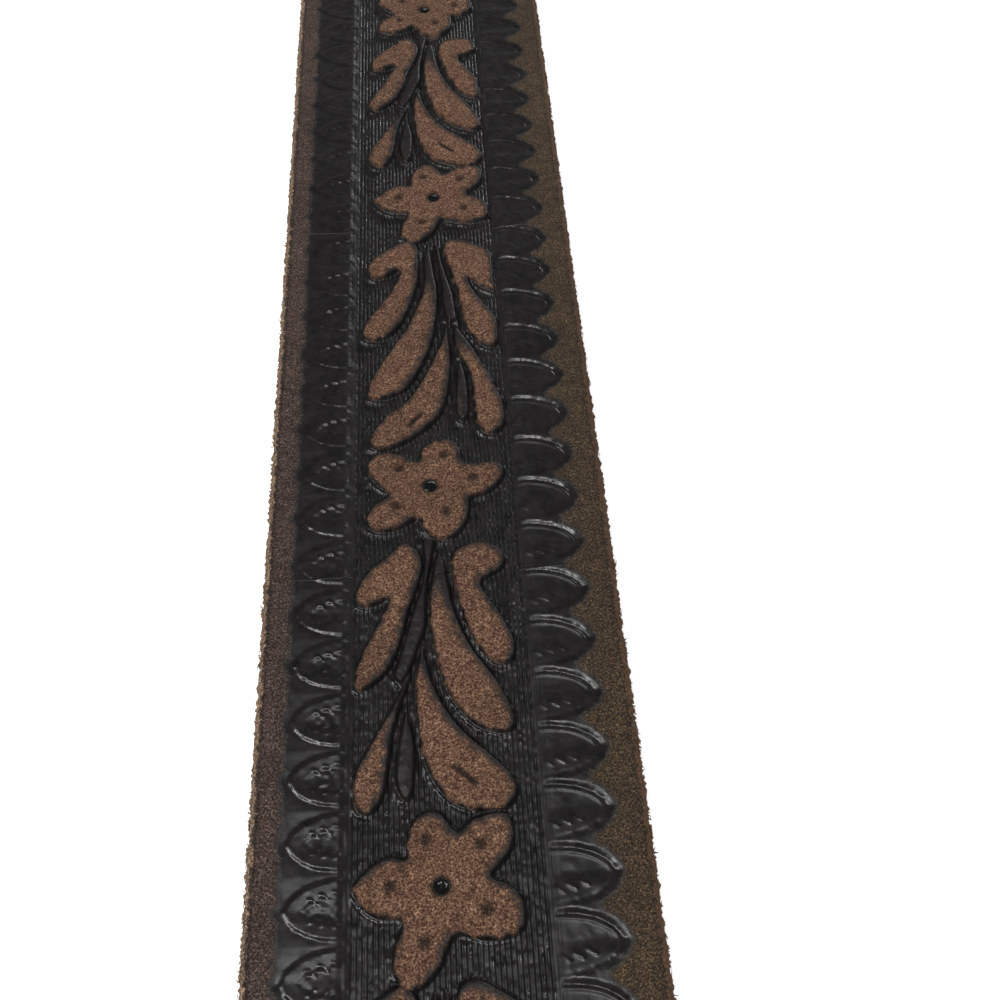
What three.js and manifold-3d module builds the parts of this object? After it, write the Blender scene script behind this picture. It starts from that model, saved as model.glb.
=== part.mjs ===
// A western tooled belt, lying flat with its grain side up.
// The strap is one length of thick leather: its buckle end turns back under itself round the buckle's
// heel bar, and its other end has a rounded point and a row of punched holes.
// The tooled field has a sunk panel down the middle, where flowers and leaf sprays stand up from the
// ground, and a row of stamped arches along each side of it.
// Millimetres. X runs across the belt, Y along it from buckle to tip, and Z is up. The pieces are laid
// out with the heel bar's axis at y = 0, and the finished belt is then centred over the origin.
import * as THREE from "three";
import { mergeVertices } from "three/addons/utils/BufferGeometryUtils.js";
import Module from "manifold-3d";

const wasm = await Module();
wasm.setup();

// Strap
const strapWidth = 38;
const strapThickness = 3;
const tipLength = 26; // stretch over which the tip narrows to its point
const tipBluntness = 0.3; // the point's half width, as a share of the strap's half width
const tipSteps = 7;

// Turned-back buckle end, pared thinner than the strap
const flapThickness = 2;
const flapLength = 62; // from the heel bar's axis to the flap's end
const layerGap = 0.3; // between strap and flap, and between any piece and its neighbour
const closingLength = 22; // from the heel bar's axis to where strap and flap lie together
const landingLength = 26; // from the flap's end to where the strap lies on the surface
const foldSteps = 12;
const rampSteps = 6;

// Holes for the buckle's tongue
const holeDiameter = 5;
const holeSpacing = 25.4;
const holeCount = 5;
const middleHoleDistance = 762; // from the heel bar's axis: waist size 30 inches
const holeSides = 12;
const tipReach = 138; // from the middle hole to the tip
const holeMargin = 25; // least plain leather between the tooled field and the first hole

// Tooled field
const fieldStart = 100; // from the heel bar's axis
const motifPitch = 45; // from flower to flower, on average
const motifStagger = 1.85; // how far every other flower lies from the middle of its neighbours
const panelWidth = 18.2;
const panelDepth = 0.6;
const archPitch = 6;
const archReach = 6.1; // from the panel's side to the arch's point
const archDepth = 0.3;

// Buckle: a flat frame on a round heel bar, with its tongue, in one piece
const barThickness = 4;
const frameClearance = 1; // between the strap's edge and the frame's arm, each side
const armWidth = 5;
const frontWidth = 6;
const windowLength = 25; // from the heel bar to the front bar
const frameCorner = 7;
const frameBevel = 1.1;
const heelReach = 1.5; // how far the arms run past the heel bar
const tongueWidth = 4;
const tongueThickness = 3;
const tongueOverhang = 1.5; // how far the tongue reaches past the front bar
const eyeWall = 1.3; // wall of the tongue's eye, round the heel bar
const slotClearance = 1; // between the tongue's eye and the strap's slot
const eyeSteps = 12;
const barSides = 20;

// Posts that hold the turned-back end, one on each side of the keeper
const postDiameter = 4;
const headDiameter = 9;
const headHeight = 1.4;
const footHeight = 0.8;
const firstPostDistance = 29; // from the heel bar's axis
const postSides = 16;

// Keeper: a leather loop round strap and flap, which the belt's tip is pushed through
const keeperWidth = 11;
const keeperThickness = 1.5;
const keeperRoom = 4.8; // over the strap, for the tip
const keeperPlay = 1.5; // between the keeper and a post's head, on each side
const keeperCorner = 2.5; // outer radius

// The flower's petals, one row each: the way the petal points, in degrees from +X towards +Y,
// and its length as a share of the panel's half width.
const petals = [
  { points: 28, length: 0.92 },
  { points: 97, length: 0.79 },
  { points: 172, length: 0.89 },
  { points: 252, length: 0.9 },
  { points: 329, length: 0.92 },
];
const petalValley = 0.47; // radius between two petals, as a share of the panel's half width
const petalShoulder = 0.72; // radius of a petal's shoulder, as a share of its length
const petalShoulderAngle = 21; // between a petal's middle and its shoulder, in degrees
const petalTipAngle = 7;

// The leaf spray below a flower, one row each. across and along run from the flower's middle, across
// as a share of the panel's half width and along as a share of the motif's pitch. A leaf curves from
// base to tip, drawn towards its bend. Its half widths are shares of the panel's half width.
const leaves = [
  { name: "upper_left_lobe", baseAcross: -0.29, baseAlong: -0.238, bendAcross: -0.58, bendAlong: -0.21,
    tipAcross: -0.91, tipAlong: -0.268, baseHalfWidth: 0.11, bodyHalfWidth: 0.21 },
  { name: "left_leaf", baseAcross: -0.3, baseAlong: -0.245, bendAcross: -0.36, bendAlong: -0.39,
    tipAcross: -0.91, tipAlong: -0.51, baseHalfWidth: 0.07, bodyHalfWidth: 0.19 },
  { name: "long_leaf", baseAcross: -0.08, baseAlong: -0.218, bendAcross: 0.02, bendAlong: -0.51,
    tipAcross: -0.88, tipAlong: -0.7, baseHalfWidth: 0.06, bodyHalfWidth: 0.23 },
  { name: "slit_leaf", baseAcross: 0.11, baseAlong: -0.54, bendAcross: 0.16, bendAlong: -0.765,
    tipAcross: -0.9, tipAlong: -0.856, baseHalfWidth: 0.07, bodyHalfWidth: 0.25 },
  { name: "upper_right_lobe", baseAcross: 0.18, baseAlong: -0.205, bendAcross: 0.58, bendAlong: -0.205,
    tipAcross: 0.93, tipAlong: -0.33, baseHalfWidth: 0.16, bodyHalfWidth: 0.25 },
  { name: "right_leaf", baseAcross: 0.32, baseAlong: -0.27, bendAcross: 0.43, bendAlong: -0.42,
    tipAcross: 0.88, tipAlong: -0.565, baseHalfWidth: 0.07, bodyHalfWidth: 0.2 },
  { name: "lower_right_leaf", baseAcross: 0.25, baseAlong: -0.52, bendAcross: 0.46, bendAlong: -0.645,
    tipAcross: 0.77, tipAlong: -0.84, baseHalfWidth: 0.07, bodyHalfWidth: 0.18 },
  { name: "small_leaf", baseAcross: 0.28, baseAlong: -0.61, bendAcross: 0.26, bendAlong: -0.71,
    tipAcross: 0.32, tipAlong: -0.82, baseHalfWidth: 0.045, bodyHalfWidth: 0.1 },
  { name: "stem", baseAcross: 0.13, baseAlong: -0.29, bendAcross: 0.23, bendAlong: -0.42,
    tipAcross: 0.19, tipAlong: -0.58, baseHalfWidth: 0.055, bodyHalfWidth: 0.08 },
];
const leafWidest = 0.72; // where along the leaf it is widest
const leafStations = [0, 0.35, 0.72, 0.93]; // where along the leaf its outline has points

// Half of one arch's outline, one row each: out from the panel's side as a share of the arch's reach,
// and along the belt from the arch's middle as a share of half its pitch.
const archOutline = [
  { out: 0, along: 1 },
  { out: 0.6, along: 0.74 },
];

// Sizes worked out from those above
const barRadius = barThickness / 2;
const foldInner = barRadius + layerGap;
const foldOuter = foldInner + flapThickness;
const flapLow = keeperThickness + layerGap; // the flap lies on the keeper's lower side
const raisedLow = flapLow + flapThickness + layerGap; // the strap's underside over the flap
const barHeight = flapLow + foldOuter;
const secondPostDistance = firstPostDistance + headDiameter + keeperWidth + keeperPlay * 2;
const keeperY = (firstPostDistance + secondPostDistance) / 2; // from the heel bar's axis
const frontReach = barRadius + windowLength + frontWidth; // from the heel bar's axis
const halfPanel = panelWidth / 2;
const strapLength = middleHoleDistance + tipReach; // from the heel bar's axis to the tip
const firstHoleDistance = middleHoleDistance - (holeSpacing * (holeCount - 1)) / 2;
const motifCount = Math.floor((firstHoleDistance - holeMargin - fieldStart) / motifPitch);
const fieldLength = motifPitch * motifCount;
const cutMargin = 5; // how far a cutter runs past what it cuts

const leather = new THREE.MeshStandardMaterial({ color: 0x3a2a20, roughness: 0.6, metalness: 0 });
const darkMetal = new THREE.MeshStandardMaterial({ color: 0x6b6862, roughness: 0.4, metalness: 1 });

// A closed three.js geometry as a solid that can be joined and cut.
function solidOf(geometry) {
  const bare = geometry.clone();
  bare.deleteAttribute("normal");
  bare.deleteAttribute("uv");
  const merged = mergeVertices(bare, 1e-4);
  return new wasm.Manifold(
    new wasm.Mesh({
      numProp: 3,
      vertProperties: new Float32Array(merged.attributes.position.array),
      triVerts: new Uint32Array(merged.index.array),
    }),
  );
}

function geometryOf(solid) {
  const mesh = solid.getMesh();
  const positions = new Float32Array(mesh.numVert * 3);
  for (let i = 0; i < mesh.numVert; i++) {
    const start = i * mesh.numProp;
    positions.set(mesh.vertProperties.subarray(start, start + 3), i * 3);
  }
  const geometry = new THREE.BufferGeometry();
  geometry.setAttribute("position", new THREE.BufferAttribute(positions, 3));
  geometry.setIndex(new THREE.BufferAttribute(new Uint32Array(mesh.triVerts), 1));
  geometry.computeVertexNormals();
  return geometry;
}

// A plan outline, as [x, y] points, raised from one height to another.
function prism(points, low, high) {
  const shape = new THREE.Shape(points.map(([x, y]) => new THREE.Vector2(x, y)));
  const geometry = new THREE.ExtrudeGeometry(shape, { depth: high - low, bevelEnabled: false });
  return solidOf(geometry.translate(0, 0, low));
}

// A side outline, as [y, z] points, carried across the belt by its width, centred on x = 0.
function acrossPrism(points, width) {
  const shape = new THREE.Shape(points.map(([y, z]) => new THREE.Vector2(y, z)));
  const geometry = new THREE.ExtrudeGeometry(shape, { depth: width, bevelEnabled: false });
  const turned = new THREE.Matrix4().makeBasis(
    new THREE.Vector3(0, 1, 0),
    new THREE.Vector3(0, 0, 1),
    new THREE.Vector3(1, 0, 0),
  );
  return solidOf(geometry.applyMatrix4(turned).translate(-width / 2, 0, 0));
}

function rectangle(x0, y0, x1, y1) {
  return [[x0, y0], [x1, y0], [x1, y1], [x0, y1]];
}

function circle(x, y, radius, sides) {
  const points = [];
  for (let i = 0; i < sides; i++) {
    const angle = ((i + 0.5) / sides) * 2 * Math.PI;
    points.push([x + radius * Math.cos(angle), y + radius * Math.sin(angle)]);
  }
  return points;
}

// A slot with round ends along Y.
function roundSlot(halfWidth, y0, y1, steps) {
  const points = [];
  for (let i = 0; i <= steps; i++) {
    const angle = (i / steps) * Math.PI;
    points.push([halfWidth * Math.cos(angle), y1 - halfWidth + halfWidth * Math.sin(angle)]);
  }
  for (let i = 0; i <= steps; i++) {
    const angle = Math.PI + (i / steps) * Math.PI;
    points.push([halfWidth * Math.cos(angle), y0 + halfWidth + halfWidth * Math.sin(angle)]);
  }
  return points;
}

function joined(solids) {
  return solids.reduce((whole, next) => whole.add(next));
}

// From 0 to 1 with no slope at either end.
function eased(share) {
  return share * share * (3 - 2 * share);
}

// Points that ease from one height to another between two places along the belt.
function ramp(fromY, fromZ, toY, toZ, steps) {
  const points = [];
  for (let i = 0; i <= steps; i++) {
    const share = i / steps;
    points.push([fromY + (toY - fromY) * share, fromZ + (toZ - fromZ) * eased(share)]);
  }
  return points;
}

// The strap from the side: out along its top from the tip, round the heel bar and back along the flap.
function strapSideOutline() {
  const tipY = strapLength;
  const flapEndY = flapLength;
  const closedY = closingLength;
  const landedY = flapEndY + landingLength;
  const points = [[tipY, strapThickness]];
  points.push(...ramp(landedY, strapThickness, flapEndY, raisedLow + strapThickness, rampSteps));
  points.push(...ramp(closedY, raisedLow + strapThickness, 0, barHeight + foldOuter, rampSteps));
  for (let i = 1; i <= foldSteps; i++) {
    const angle = Math.PI / 2 + (i / foldSteps) * Math.PI;
    points.push([foldOuter * Math.cos(angle), barHeight + foldOuter * Math.sin(angle)]);
  }
  points.push([flapEndY, flapLow], [flapEndY, flapLow + flapThickness]);
  for (let i = foldSteps; i >= 1; i--) {
    const angle = Math.PI / 2 + (i / foldSteps) * Math.PI;
    points.push([foldInner * Math.cos(angle), barHeight + foldInner * Math.sin(angle)]);
  }
  points.push(...ramp(0, barHeight + foldInner, closedY, raisedLow, rampSteps));
  points.push(...ramp(flapEndY, raisedLow, landedY, 0, rampSteps));
  points.push([tipY, 0]);
  return points.reverse();
}

// The strap from above, with its point at the far end.
function strapPlanOutline() {
  const half = strapWidth / 2;
  const nearY = -foldOuter - cutMargin;
  const tipY = strapLength;
  const side = [];
  for (let i = 0; i <= tipSteps; i++) {
    const share = i / tipSteps;
    const narrowing = 1 - (1 - tipBluntness) * share * share;
    side.push([half * narrowing, tipY - tipLength + tipLength * Math.sin((share * Math.PI) / 2)]);
  }
  const far = side.map(([x, y]) => [-x, y]).reverse();
  return [[-half, nearY], [half, nearY], ...side, ...far];
}

function flowerOutline(mirror, middleY) {
  const points = [];
  petals.forEach((petal, i) => {
    const next = petals[(i + 1) % petals.length];
    const turn = next.points > petal.points ? 0 : 360;
    const valleyAngle = (petal.points + next.points + turn) / 2;
    const length = petal.length * halfPanel;
    const rows = [
      { angle: petal.points - petalShoulderAngle, radius: length * petalShoulder },
      { angle: petal.points - petalTipAngle, radius: length },
      { angle: petal.points + petalTipAngle, radius: length },
      { angle: petal.points + petalShoulderAngle, radius: length * petalShoulder },
      { angle: valleyAngle, radius: petalValley * halfPanel },
    ];
    for (const row of rows) {
      const angle = THREE.MathUtils.degToRad(row.angle);
      points.push([mirror * row.radius * Math.cos(angle), middleY + row.radius * Math.sin(angle)]);
    }
  });
  return mirror > 0 ? points : points.reverse();
}

// How much of its full half width a leaf has at a share of its length.
function leafHalfWidth(leaf, share) {
  const opening = eased(Math.min(1, share / leafWidest));
  const full = leaf.baseHalfWidth + (leaf.bodyHalfWidth - leaf.baseHalfWidth) * opening;
  const past = Math.max(0, (share - leafWidest) / (1 - leafWidest));
  return full * Math.sqrt(Math.max(0, 1 - past * past));
}

function leafOutline(leaf, mirror, middleY) {
  const pitchBelow = motifPitch + mirror * motifStagger;
  const point = (across, along) => new THREE.Vector2(across * halfPanel, along * pitchBelow);
  const spine = new THREE.QuadraticBezierCurve(
    point(leaf.baseAcross, leaf.baseAlong),
    point(leaf.bendAcross, leaf.bendAlong),
    point(leaf.tipAcross, leaf.tipAlong),
  );
  const left = [];
  const right = [];
  for (const share of leafStations) {
    const place = spine.getPoint(share);
    const direction = spine.getTangent(share);
    const half = leafHalfWidth(leaf, share) * halfPanel;
    left.push([place.x - direction.y * half, place.y + direction.x * half]);
    right.push([place.x + direction.y * half, place.y - direction.x * half]);
  }
  const tip = spine.getPoint(1);
  const outline = [...right, [tip.x, tip.y], ...left.reverse()];
  const placed = outline.map(([x, y]) => [mirror * x, middleY + y]);
  return mirror > 0 ? placed : placed.reverse();
}

// What stands at full height in the sunk panel: a flower and its spray at each pitch, every other one
// mirrored.
function motifs() {
  const low = strapThickness - panelDepth - cutMargin;
  const high = strapThickness + cutMargin;
  const solids = [];
  const firstY = fieldStart + fieldLength - halfPanel;
  for (let i = 0; i < motifCount; i++) {
    const mirror = i % 2 ? -1 : 1;
    const middleY = firstY - motifPitch * i - (mirror < 0 ? motifStagger : 0);
    solids.push(prism(flowerOutline(mirror, middleY), low, high));
    for (const leaf of leaves) solids.push(prism(leafOutline(leaf, mirror, middleY), low, high));
  }
  return joined(solids);
}

// The sunk band under one side's row of arches, from the panel's side to their points.
function archBand(side) {
  const count = Math.floor(fieldLength / archPitch);
  const points = [];
  for (let i = 0; i < count; i++) {
    const middleY = fieldStart + archPitch * (i + 0.5);
    const half = archPitch / 2;
    const out = (row) => side * (halfPanel + row.out * archReach);
    archOutline.forEach((row) => points.push([out(row), middleY - row.along * half]));
    points.push([side * (halfPanel + archReach), middleY]);
    archOutline.slice(1).reverse().forEach((row) => points.push([out(row), middleY + row.along * half]));
  }
  const endY = fieldStart + archPitch * count;
  points.push([side * halfPanel, endY], [side * (halfPanel - layerGap), endY]);
  points.push([side * (halfPanel - layerGap), fieldStart]);
  const outline = side > 0 ? points : points.reverse();
  return prism(outline, strapThickness - archDepth, strapThickness + cutMargin);
}

function tooling() {
  const floorZ = strapThickness - panelDepth;
  const outline = rectangle(-halfPanel, fieldStart, halfPanel, fieldStart + fieldLength);
  const panel = prism(outline, floorZ, strapThickness + cutMargin).subtract(motifs());
  return joined([panel, archBand(-1), archBand(1)]);
}

// The punched holes, the slot that the tongue's eye sits in, and the post holes with their foot recesses.
function strapHoles() {
  const low = -cutMargin;
  const high = barHeight + foldOuter + cutMargin;
  const solids = [];
  for (let i = 0; i < holeCount; i++) {
    const distance = firstHoleDistance + holeSpacing * i;
    solids.push(prism(circle(0, distance, holeDiameter / 2, holeSides), low, high));
  }
  const slotReach = barRadius + eyeWall + slotClearance;
  const slotHalf = tongueWidth / 2 + slotClearance;
  const slotEnd = slotReach + slotHalf;
  solids.push(prism(roundSlot(slotHalf, -foldOuter - cutMargin, slotEnd, eyeSteps), low, high));
  for (const distance of [firstPostDistance, secondPostDistance]) {
    const y = distance;
    solids.push(prism(circle(0, y, postDiameter / 2 + layerGap, postSides), low, high));
    const recess = circle(0, y, headDiameter / 2 + layerGap, postSides);
    solids.push(prism(recess, low, flapLow + footHeight + layerGap));
  }
  return joined(solids);
}

function makeStrap() {
  const body = acrossPrism(strapSideOutline(), strapWidth);
  const low = -cutMargin;
  const high = barHeight + foldOuter + cutMargin;
  const shaped = body.intersect(prism(strapPlanOutline(), low, high));
  const cut = shaped.subtract(strapHoles()).subtract(tooling());
  const strap = new THREE.Mesh(geometryOf(cut), leather);
  strap.name = "strap";
  return strap;
}

// The frame from above, open at the heel bar: two arms and the front bar. The bevel adds to it all round.
function frameShape() {
  const innerHalf = strapWidth / 2 + frameClearance + frameBevel;
  const outerHalf = innerHalf + armWidth - frameBevel * 2;
  const heelY = barRadius + heelReach - frameBevel;
  const frontY = -frontReach + frameBevel;
  const windowY = -barRadius - windowLength - frameBevel;
  const outer = frameCorner - frameBevel;
  const inner = frameBevel;
  const shape = new THREE.Shape();
  shape.moveTo(-outerHalf, heelY);
  shape.lineTo(-outerHalf, frontY + outer);
  shape.absarc(-outerHalf + outer, frontY + outer, outer, Math.PI, 1.5 * Math.PI, false);
  shape.lineTo(outerHalf - outer, frontY);
  shape.absarc(outerHalf - outer, frontY + outer, outer, 1.5 * Math.PI, 2 * Math.PI, false);
  shape.lineTo(outerHalf, heelY);
  shape.lineTo(innerHalf, heelY);
  shape.lineTo(innerHalf, windowY + inner);
  shape.lineTo(innerHalf - inner, windowY);
  shape.lineTo(-innerHalf + inner, windowY);
  shape.lineTo(-innerHalf, windowY + inner);
  shape.lineTo(-innerHalf, heelY);
  return shape;
}

// The frame round its own heel bar, whose axis is X.
function buckleFrame() {
  const geometry = new THREE.ExtrudeGeometry(frameShape(), {
    depth: barThickness - frameBevel * 2,
    bevelThickness: frameBevel,
    bevelSize: frameBevel,
    bevelSegments: 2,
    curveSegments: 5,
  });
  const frame = solidOf(geometry.translate(0, 0, -barThickness / 2 + frameBevel));
  const barLength = strapWidth + frameClearance * 2 + armWidth;
  const bar = new THREE.CylinderGeometry(barRadius, barRadius, barLength, barSides);
  return frame.add(solidOf(bar.rotateZ(Math.PI / 2)));
}

// The tongue from the side: an eye round the heel bar, and an arm that rests on the front bar.
function buckleTongue() {
  const eyeRadius = barRadius + eyeWall;
  const restZ = barRadius + layerGap; // underside of the arm on the front bar
  const endY = -frontReach - tongueOverhang;
  const points = [];
  for (let i = 0; i <= eyeSteps; i++) {
    const angle = Math.PI + (i / eyeSteps) * 1.5 * Math.PI;
    points.push([eyeRadius * Math.cos(angle), eyeRadius * Math.sin(angle)]);
  }
  const top = restZ + tongueThickness;
  points.push(...ramp(-eyeRadius, top, endY, restZ + tongueThickness / 2, rampSteps));
  points.push([endY, restZ]);
  points.push(...ramp(-frontReach, restZ, -eyeRadius, restZ, 1));
  return acrossPrism(points, tongueWidth);
}

function makeBuckle() {
  const solid = buckleFrame().add(buckleTongue());
  const buckle = new THREE.Mesh(geometryOf(solid), darkMetal);
  buckle.name = "buckle";
  buckle.position.set(0, 0, barHeight);
  buckle.rotation.x = Math.asin((barHeight - barThickness / 2) / frontReach); // its front rests on the surface
  return buckle;
}

function roundedRectangle(halfX, low, high, corner) {
  const shape = new THREE.Shape();
  shape.moveTo(-halfX + corner, low);
  shape.lineTo(halfX - corner, low);
  shape.absarc(halfX - corner, low + corner, corner, -Math.PI / 2, 0, false);
  shape.lineTo(halfX, high - corner);
  shape.absarc(halfX - corner, high - corner, corner, 0, Math.PI / 2, false);
  shape.lineTo(-halfX + corner, high);
  shape.absarc(-halfX + corner, high - corner, corner, Math.PI / 2, Math.PI, false);
  shape.lineTo(-halfX, low + corner);
  shape.absarc(-halfX + corner, low + corner, corner, Math.PI, 1.5 * Math.PI, false);
  return shape;
}

// A post: a foot let into the flap, a shank through both layers and a low domed head on the strap.
function makePost(name, distance) {
  const headZ = raisedLow - flapLow + strapThickness + layerGap; // over the foot's underside
  const footRadius = headDiameter / 2;
  const profile = [
    new THREE.Vector2(0, 0),
    new THREE.Vector2(footRadius, 0),
    new THREE.Vector2(footRadius, footHeight),
    new THREE.Vector2(postDiameter / 2, footHeight),
    new THREE.Vector2(postDiameter / 2, headZ),
    new THREE.Vector2(footRadius, headZ),
    new THREE.Vector2(footRadius, headZ + headHeight * 0.4),
    new THREE.Vector2(footRadius * 0.6, headZ + headHeight * 0.9),
    new THREE.Vector2(0, headZ + headHeight),
  ];
  const post = new THREE.Mesh(new THREE.LatheGeometry(profile, postSides), darkMetal);
  post.name = name;
  post.rotation.x = Math.PI / 2; // the lathe turns about Y
  post.position.set(0, distance, flapLow);
  return post;
}

// The keeper from the end of the belt: a loop with rounded corners.
function makeKeeper() {
  const innerHalf = strapWidth / 2 + layerGap;
  const outerHalf = innerHalf + keeperThickness;
  const innerTop = raisedLow + strapThickness + keeperRoom;
  const shape = roundedRectangle(outerHalf, 0, innerTop + keeperThickness, keeperCorner);
  const innerCorner = Math.max(keeperCorner - keeperThickness, layerGap);
  shape.holes.push(roundedRectangle(innerHalf, keeperThickness, innerTop, innerCorner));
  const geometry = new THREE.ExtrudeGeometry(shape, {
    depth: keeperWidth,
    bevelEnabled: false,
    curveSegments: 3,
  });
  const keeper = new THREE.Mesh(geometry, leather);
  keeper.name = "keeper";
  keeper.rotation.x = Math.PI / 2; // the loop's outline stands upright
  keeper.position.set(0, keeperY + keeperWidth / 2, 0);
  return keeper;
}

const pieces = new THREE.Group();
pieces.add(makeStrap());
pieces.add(makeBuckle());
pieces.add(makePost("front_post", firstPostDistance));
pieces.add(makePost("rear_post", secondPostDistance));
pieces.add(makeKeeper());

const extent = new THREE.Box3().setFromObject(pieces, true);
pieces.position.y = -(extent.min.y + extent.max.y) / 2;
pieces.position.z = -extent.min.z;

const belt = new THREE.Group();
belt.add(pieces);

export default belt;
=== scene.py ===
"""A western tooled belt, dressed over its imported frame.

Lengths are in millimetres unless a name ends in _M, and each mesh is written in metres. X runs across the
belt, Y along it from buckle to tip, and Z is up.
"""

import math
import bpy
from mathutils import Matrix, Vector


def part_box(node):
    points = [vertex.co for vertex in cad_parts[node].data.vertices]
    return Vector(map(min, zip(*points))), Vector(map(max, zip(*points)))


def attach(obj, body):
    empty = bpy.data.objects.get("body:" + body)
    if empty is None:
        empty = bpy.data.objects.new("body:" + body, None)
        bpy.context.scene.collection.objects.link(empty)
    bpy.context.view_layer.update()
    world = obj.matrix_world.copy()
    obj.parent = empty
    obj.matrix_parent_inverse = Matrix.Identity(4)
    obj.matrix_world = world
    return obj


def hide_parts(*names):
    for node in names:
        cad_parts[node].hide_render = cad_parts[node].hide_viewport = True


bl_info = {
    "name": "Tooled Leather Belt",
    "version": (1, 0, 0),
    "blender": (4, 5, 0),
    "location": "3D View > Sidebar > Belt",
    "description": "Builds a tooled leather belt, its buckle, posts and keeper, and a plain studio stage",
    "category": "Add Mesh",
}

import bpy
import numpy as np
from mathutils import Matrix, Vector

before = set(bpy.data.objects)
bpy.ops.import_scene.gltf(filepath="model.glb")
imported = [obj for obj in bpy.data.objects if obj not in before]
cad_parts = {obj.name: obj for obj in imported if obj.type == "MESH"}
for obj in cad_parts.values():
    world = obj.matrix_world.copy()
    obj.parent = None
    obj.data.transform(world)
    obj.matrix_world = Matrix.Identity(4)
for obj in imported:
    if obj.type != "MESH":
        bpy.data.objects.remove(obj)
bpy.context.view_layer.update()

MM = 0.001


def cad_box(node):
    """A frame node's lowest and highest corners, in millimetres."""
    low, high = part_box(node)
    return np.array(low) / MM, np.array(high) / MM


# Sizes read from the frame
STRAP_HIGH = cad_box("strap")[1]
KEEPER_LOW, KEEPER_HIGH = cad_box("keeper")
BUCKLE_HIGH = cad_box("buckle")[1]
HALF_WIDTH = STRAP_HIGH[0]
TIP_Y = STRAP_HIGH[1]
FOLD_TOP = STRAP_HIGH[2]

# Sizes that the frame's boxes don't give
LEATHER = 3.0
FLAP_LEATHER = 2.0
STRAP_LENGTH = 900.0  # from the heel bar's axis to the tip
BAR_RADIUS = 2.0
LAYER_GAP = 0.3
FOLD_INNER = BAR_RADIUS + LAYER_GAP
FOLD_OUTER = FOLD_INNER + FLAP_LEATHER
BAR_Y = TIP_Y - STRAP_LENGTH
BAR_Z = FOLD_TOP - FOLD_OUTER
FLAP_LOW = BAR_Z - FOLD_OUTER
RAISED_LOW = FLAP_LOW + FLAP_LEATHER + LAYER_GAP
FLAP_LENGTH = 62.0
CLOSING_LENGTH = 22.0
LANDING_LENGTH = 26.0
TIP_NARROWING = 26.0
TIP_BLUNTNESS = 0.3
HOLE_RADIUS = 2.5
MIDDLE_HOLE = 762.0  # from the heel bar's axis
HOLE_SPACING = 25.4
HOLE_PLACES = [MIDDLE_HOLE + HOLE_SPACING * step for step in range(-2, 3)]
SLOT_HALF = 3.0
SLOT_END = 7.3
POST_RADIUS = 2.0
FOOT_HEIGHT = 0.8
HEAD_HEIGHT = 1.4
KEEPER_LEATHER = 1.5
KEEPER_CORNER = 2.5
BUCKLE_REACH = 33.0  # from the heel bar's axis to the front bar's front
ARM_WIDTH = 5.0
FRONT_WIDTH = 6.0
FRAME_CORNER = 7.0
HEEL_END = 3.5
TONGUE_WIDTH = 4.0
TONGUE_THICKNESS = 3.0
TONGUE_OVERHANG = 1.5
EYE_WALL = 1.3
BUCKLE_ROUNDING = 1.35
EDGE_ROUNDING = 0.28  # from the face's last column to the widest place of its edge
CUT_LOW = -2.0  # a cutter's ends, against the strap laid flat on its flesh side
CUT_HIGH = 6.0

# The tooled field
FIELD_DISTANCE = 100.0  # from the heel bar's axis
FIELD_START = BAR_Y + FIELD_DISTANCE
MOTIF_PITCH = 45.0
MOTIF_STAGGER = 1.85
MOTIF_COUNT = 13
FIELD_END = FIELD_START + MOTIF_PITCH * MOTIF_COUNT
FIELD_MARGIN = 4.0  # untooled leather that the field's own lengths have past each of its ends
PANEL_HALF = 9.1
SLOPE_WIDTH = 0.3  # the charts' outlines run round the motifs' feet, this far outside their shoulders
FIRST_MOTIF_Y = FIELD_END - PANEL_HALF
SEAM_LAP = 0.01  # how far the strap's lengths run into each other, so that no light shows between them
ARCH_HALF = 2.46
ARCH_POINT = 15.15  # from the strap's middle
PANEL_SHIFT = -0.28  # the panel's middle, from the strap's middle, as far as the photo shows
# The row of arches on each side: its pitch, where one arch's middle is seen past the picture's middle row
# (seen), and where its arches start from the strap's middle (base). Then how far the dark leather runs past
# an arch (halo), and how far from the strap's middle it fills the gaps between arches (filled). Then the
# height of the flecks inside an arch (grain), which of its halves have the tool's dashes (-1 is the near
# one), and where its section is polished (bright). The section gives places inside the outline, negative
# outside it, with their heights against the margin.
ARCH_ROWS = [
    {"side": -1, "pitch": 5.906, "seen": 28.31, "base": 9.6, "halo": 2.0, "filled": 15.7, "grain": 0.05,
     "dashes": (-1, 1), "bright": -0.16, "section": [
         (-1.9, 0.0), (-0.38, -0.12), (-0.3, -0.12), (-0.2, -0.094), (-0.1, -0.053), (0.0, 0.0), (0.1, 0.0),
         (1.0, -0.07), (1.05, -0.07), (1.33, -0.18), (1.5, -0.18)]},
    {"side": 1, "pitch": 5.788, "seen": 28.65, "base": 9.1, "halo": 1.5, "filled": 13.5, "grain": 0.015,
     "dashes": (-1,), "bright": -0.32, "section": [
         (-0.6, 0.0), (-0.42, -0.05), (-0.24, -0.12), (-0.05, -0.22), (0.1, -0.22), (0.26, -0.1),
         (0.36, -0.1), (0.58, -0.19), (0.9, -0.2)]},
]

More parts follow.
